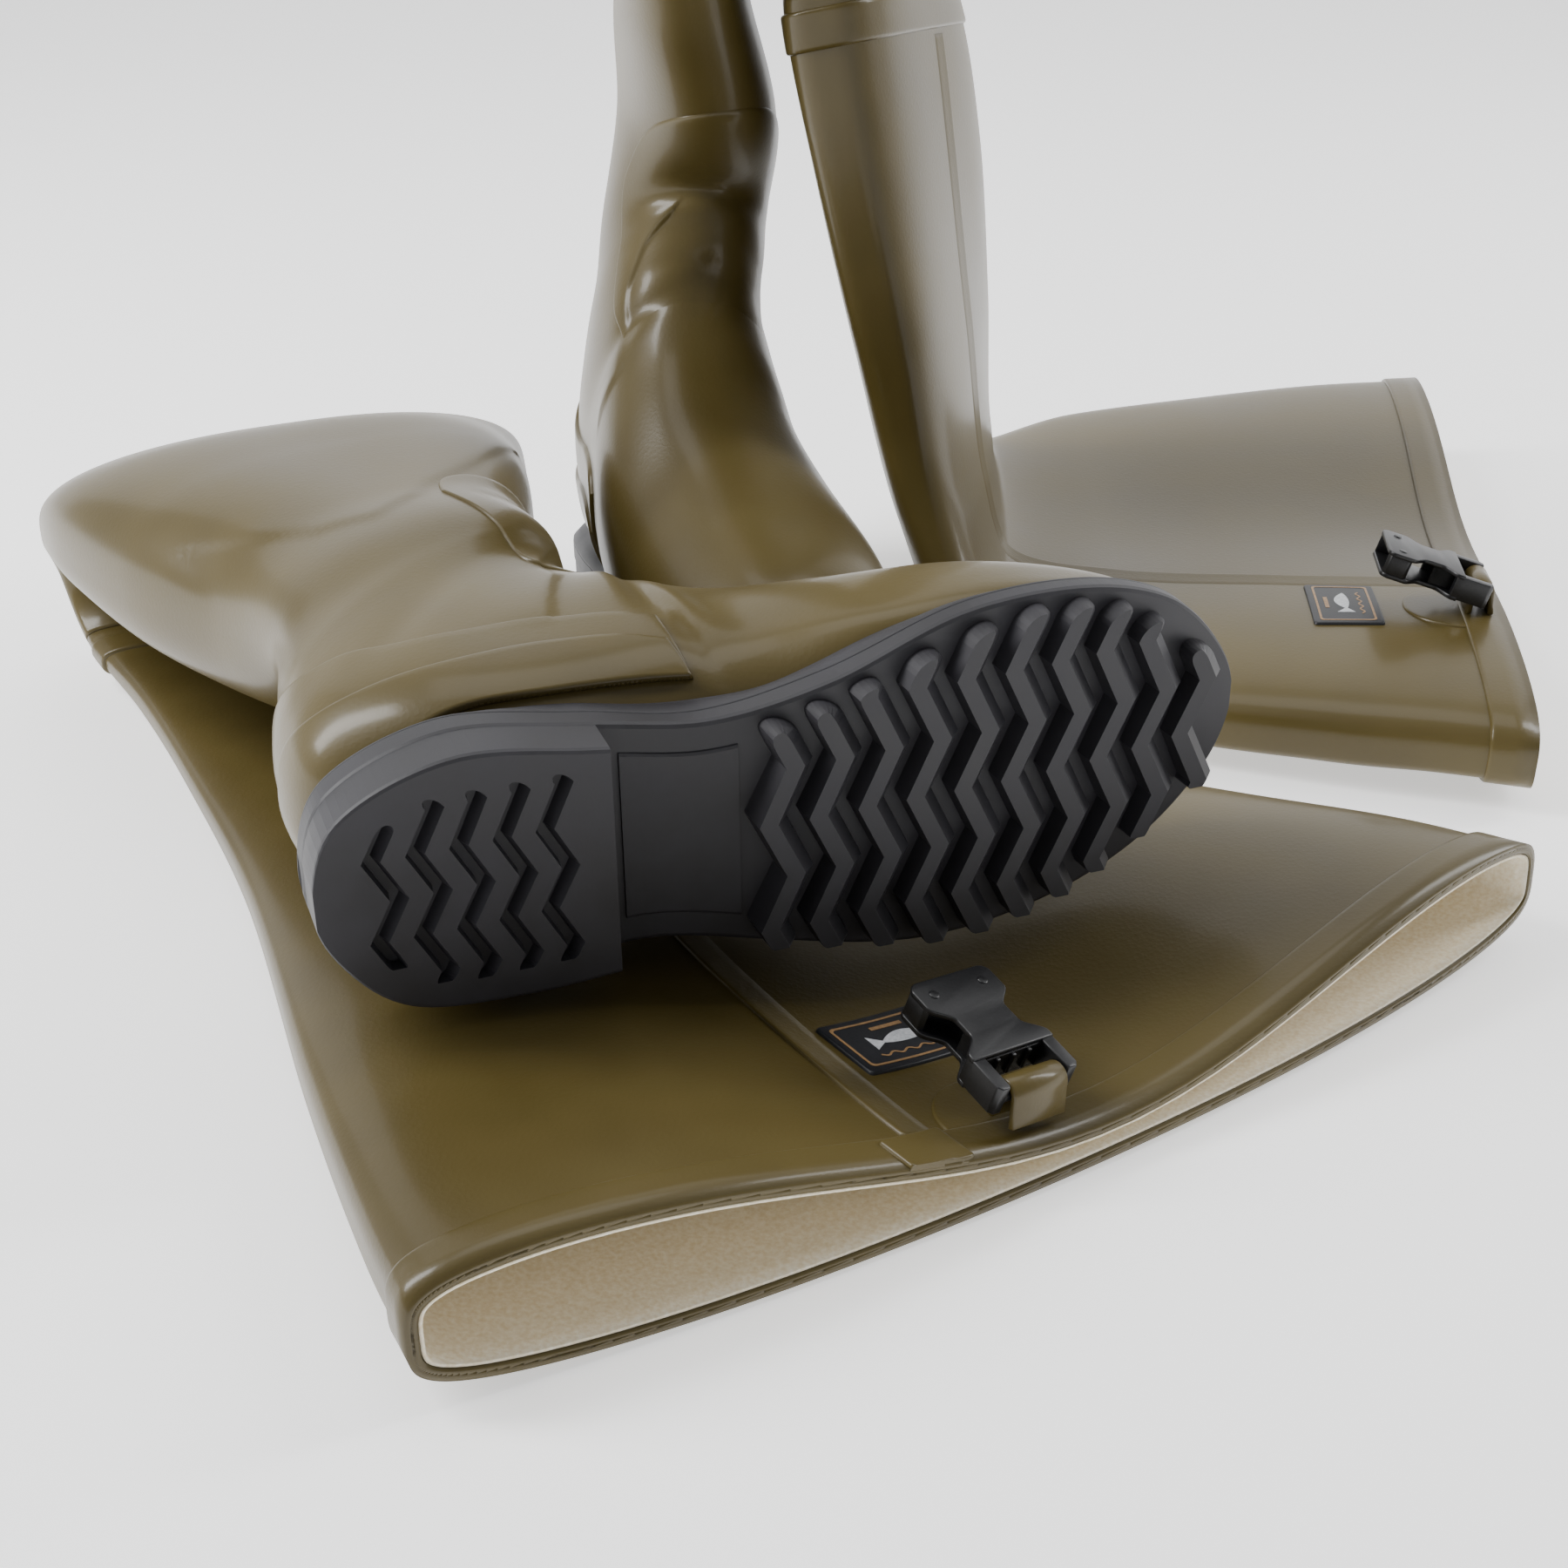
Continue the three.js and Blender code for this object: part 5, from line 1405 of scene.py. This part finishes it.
def seamless_floor():
    """A floor that sweeps up into a wall far behind the pair."""
    front, back, half, bend, steps = -3.0, 3.2, 5.0, 1.6, 24
    line = [(front, 0.0), (back, 0.0)]
    for i in range(1, steps + 1):
        a = i / steps * math.pi / 2
        line.append((back + bend * math.sin(a), bend * (1 - math.cos(a))))
    line.append((back + bend, 6.0))
    points = [(x, y, z) for y, z in line for x in (-half, half)]
    faces = [(2 * i, 2 * i + 1, 2 * i + 3, 2 * i + 2) for i in range(len(line) - 1)]
    mesh = bpy.data.meshes.new("paper_sweep")
    mesh.from_pydata(points, [], faces)
    mesh.polygons.foreach_set("use_smooth", [True] * len(faces))
    mesh.materials.append(floor_finish())
    made = bpy.data.objects.new("paper_sweep", mesh)
    bpy.context.scene.collection.objects.link(made)
    return made


def soft_panel(name, place, target, size, power):
    """A rectangular lamp of a power in watts that faces a target."""
    light = bpy.data.lights.new(name, "AREA")
    light.shape = "RECTANGLE"
    light.size, light.size_y = size
    light.energy = power
    made = bpy.data.objects.new(name, light)
    made.location = place
    made.rotation_euler = (Vector(target) - Vector(place)).to_track_quat("-Z", "Y").to_euler()
    bpy.context.scene.collection.objects.link(made)
    return made


# %% The stage set
WORLD_STRENGTH = 0.4
seamless_floor()
soft_panel("panel_left", (-1.5, -0.1, 1.3), (0, 0, 0.1), (0.5, 1.6), 48)
soft_panel("panel_right", (1.7, 0.5, 1.2), (0, 0, 0.1), (0.4, 1.6), 26)
soft_panel("panel_top", (0.0, 0.5, 2.0), (0, 0, 0), (1.4, 0.9), 9)
world = bpy.data.worlds.new("studio")
world.use_nodes = True
world.node_tree.nodes["Background"].inputs["Color"].default_value = linear("#f4f5f7")
world.node_tree.nodes["Background"].inputs["Strength"].default_value = WORLD_STRENGTH
bpy.context.scene.world = world

# %% Camera
CAMERA_HEIGHT = 385  # millimetres over the layout's origin
CAMERA_PITCH = 27  # degrees below the horizon
LENS = 50.58
camera = bpy.data.objects.new("camera", bpy.data.cameras.new("camera"))
camera.data.lens = LENS
camera.data.sensor_width = 36
camera.data.clip_start = 0.01
camera.location = to_frame([0, 0, CAMERA_HEIGHT])
camera.rotation_euler = (math.radians(90 - CAMERA_PITCH), 0, 0)
bpy.context.scene.collection.objects.link(camera)
bpy.context.scene.camera = camera
print("camera at", [round(x, 3) for x in camera.location])
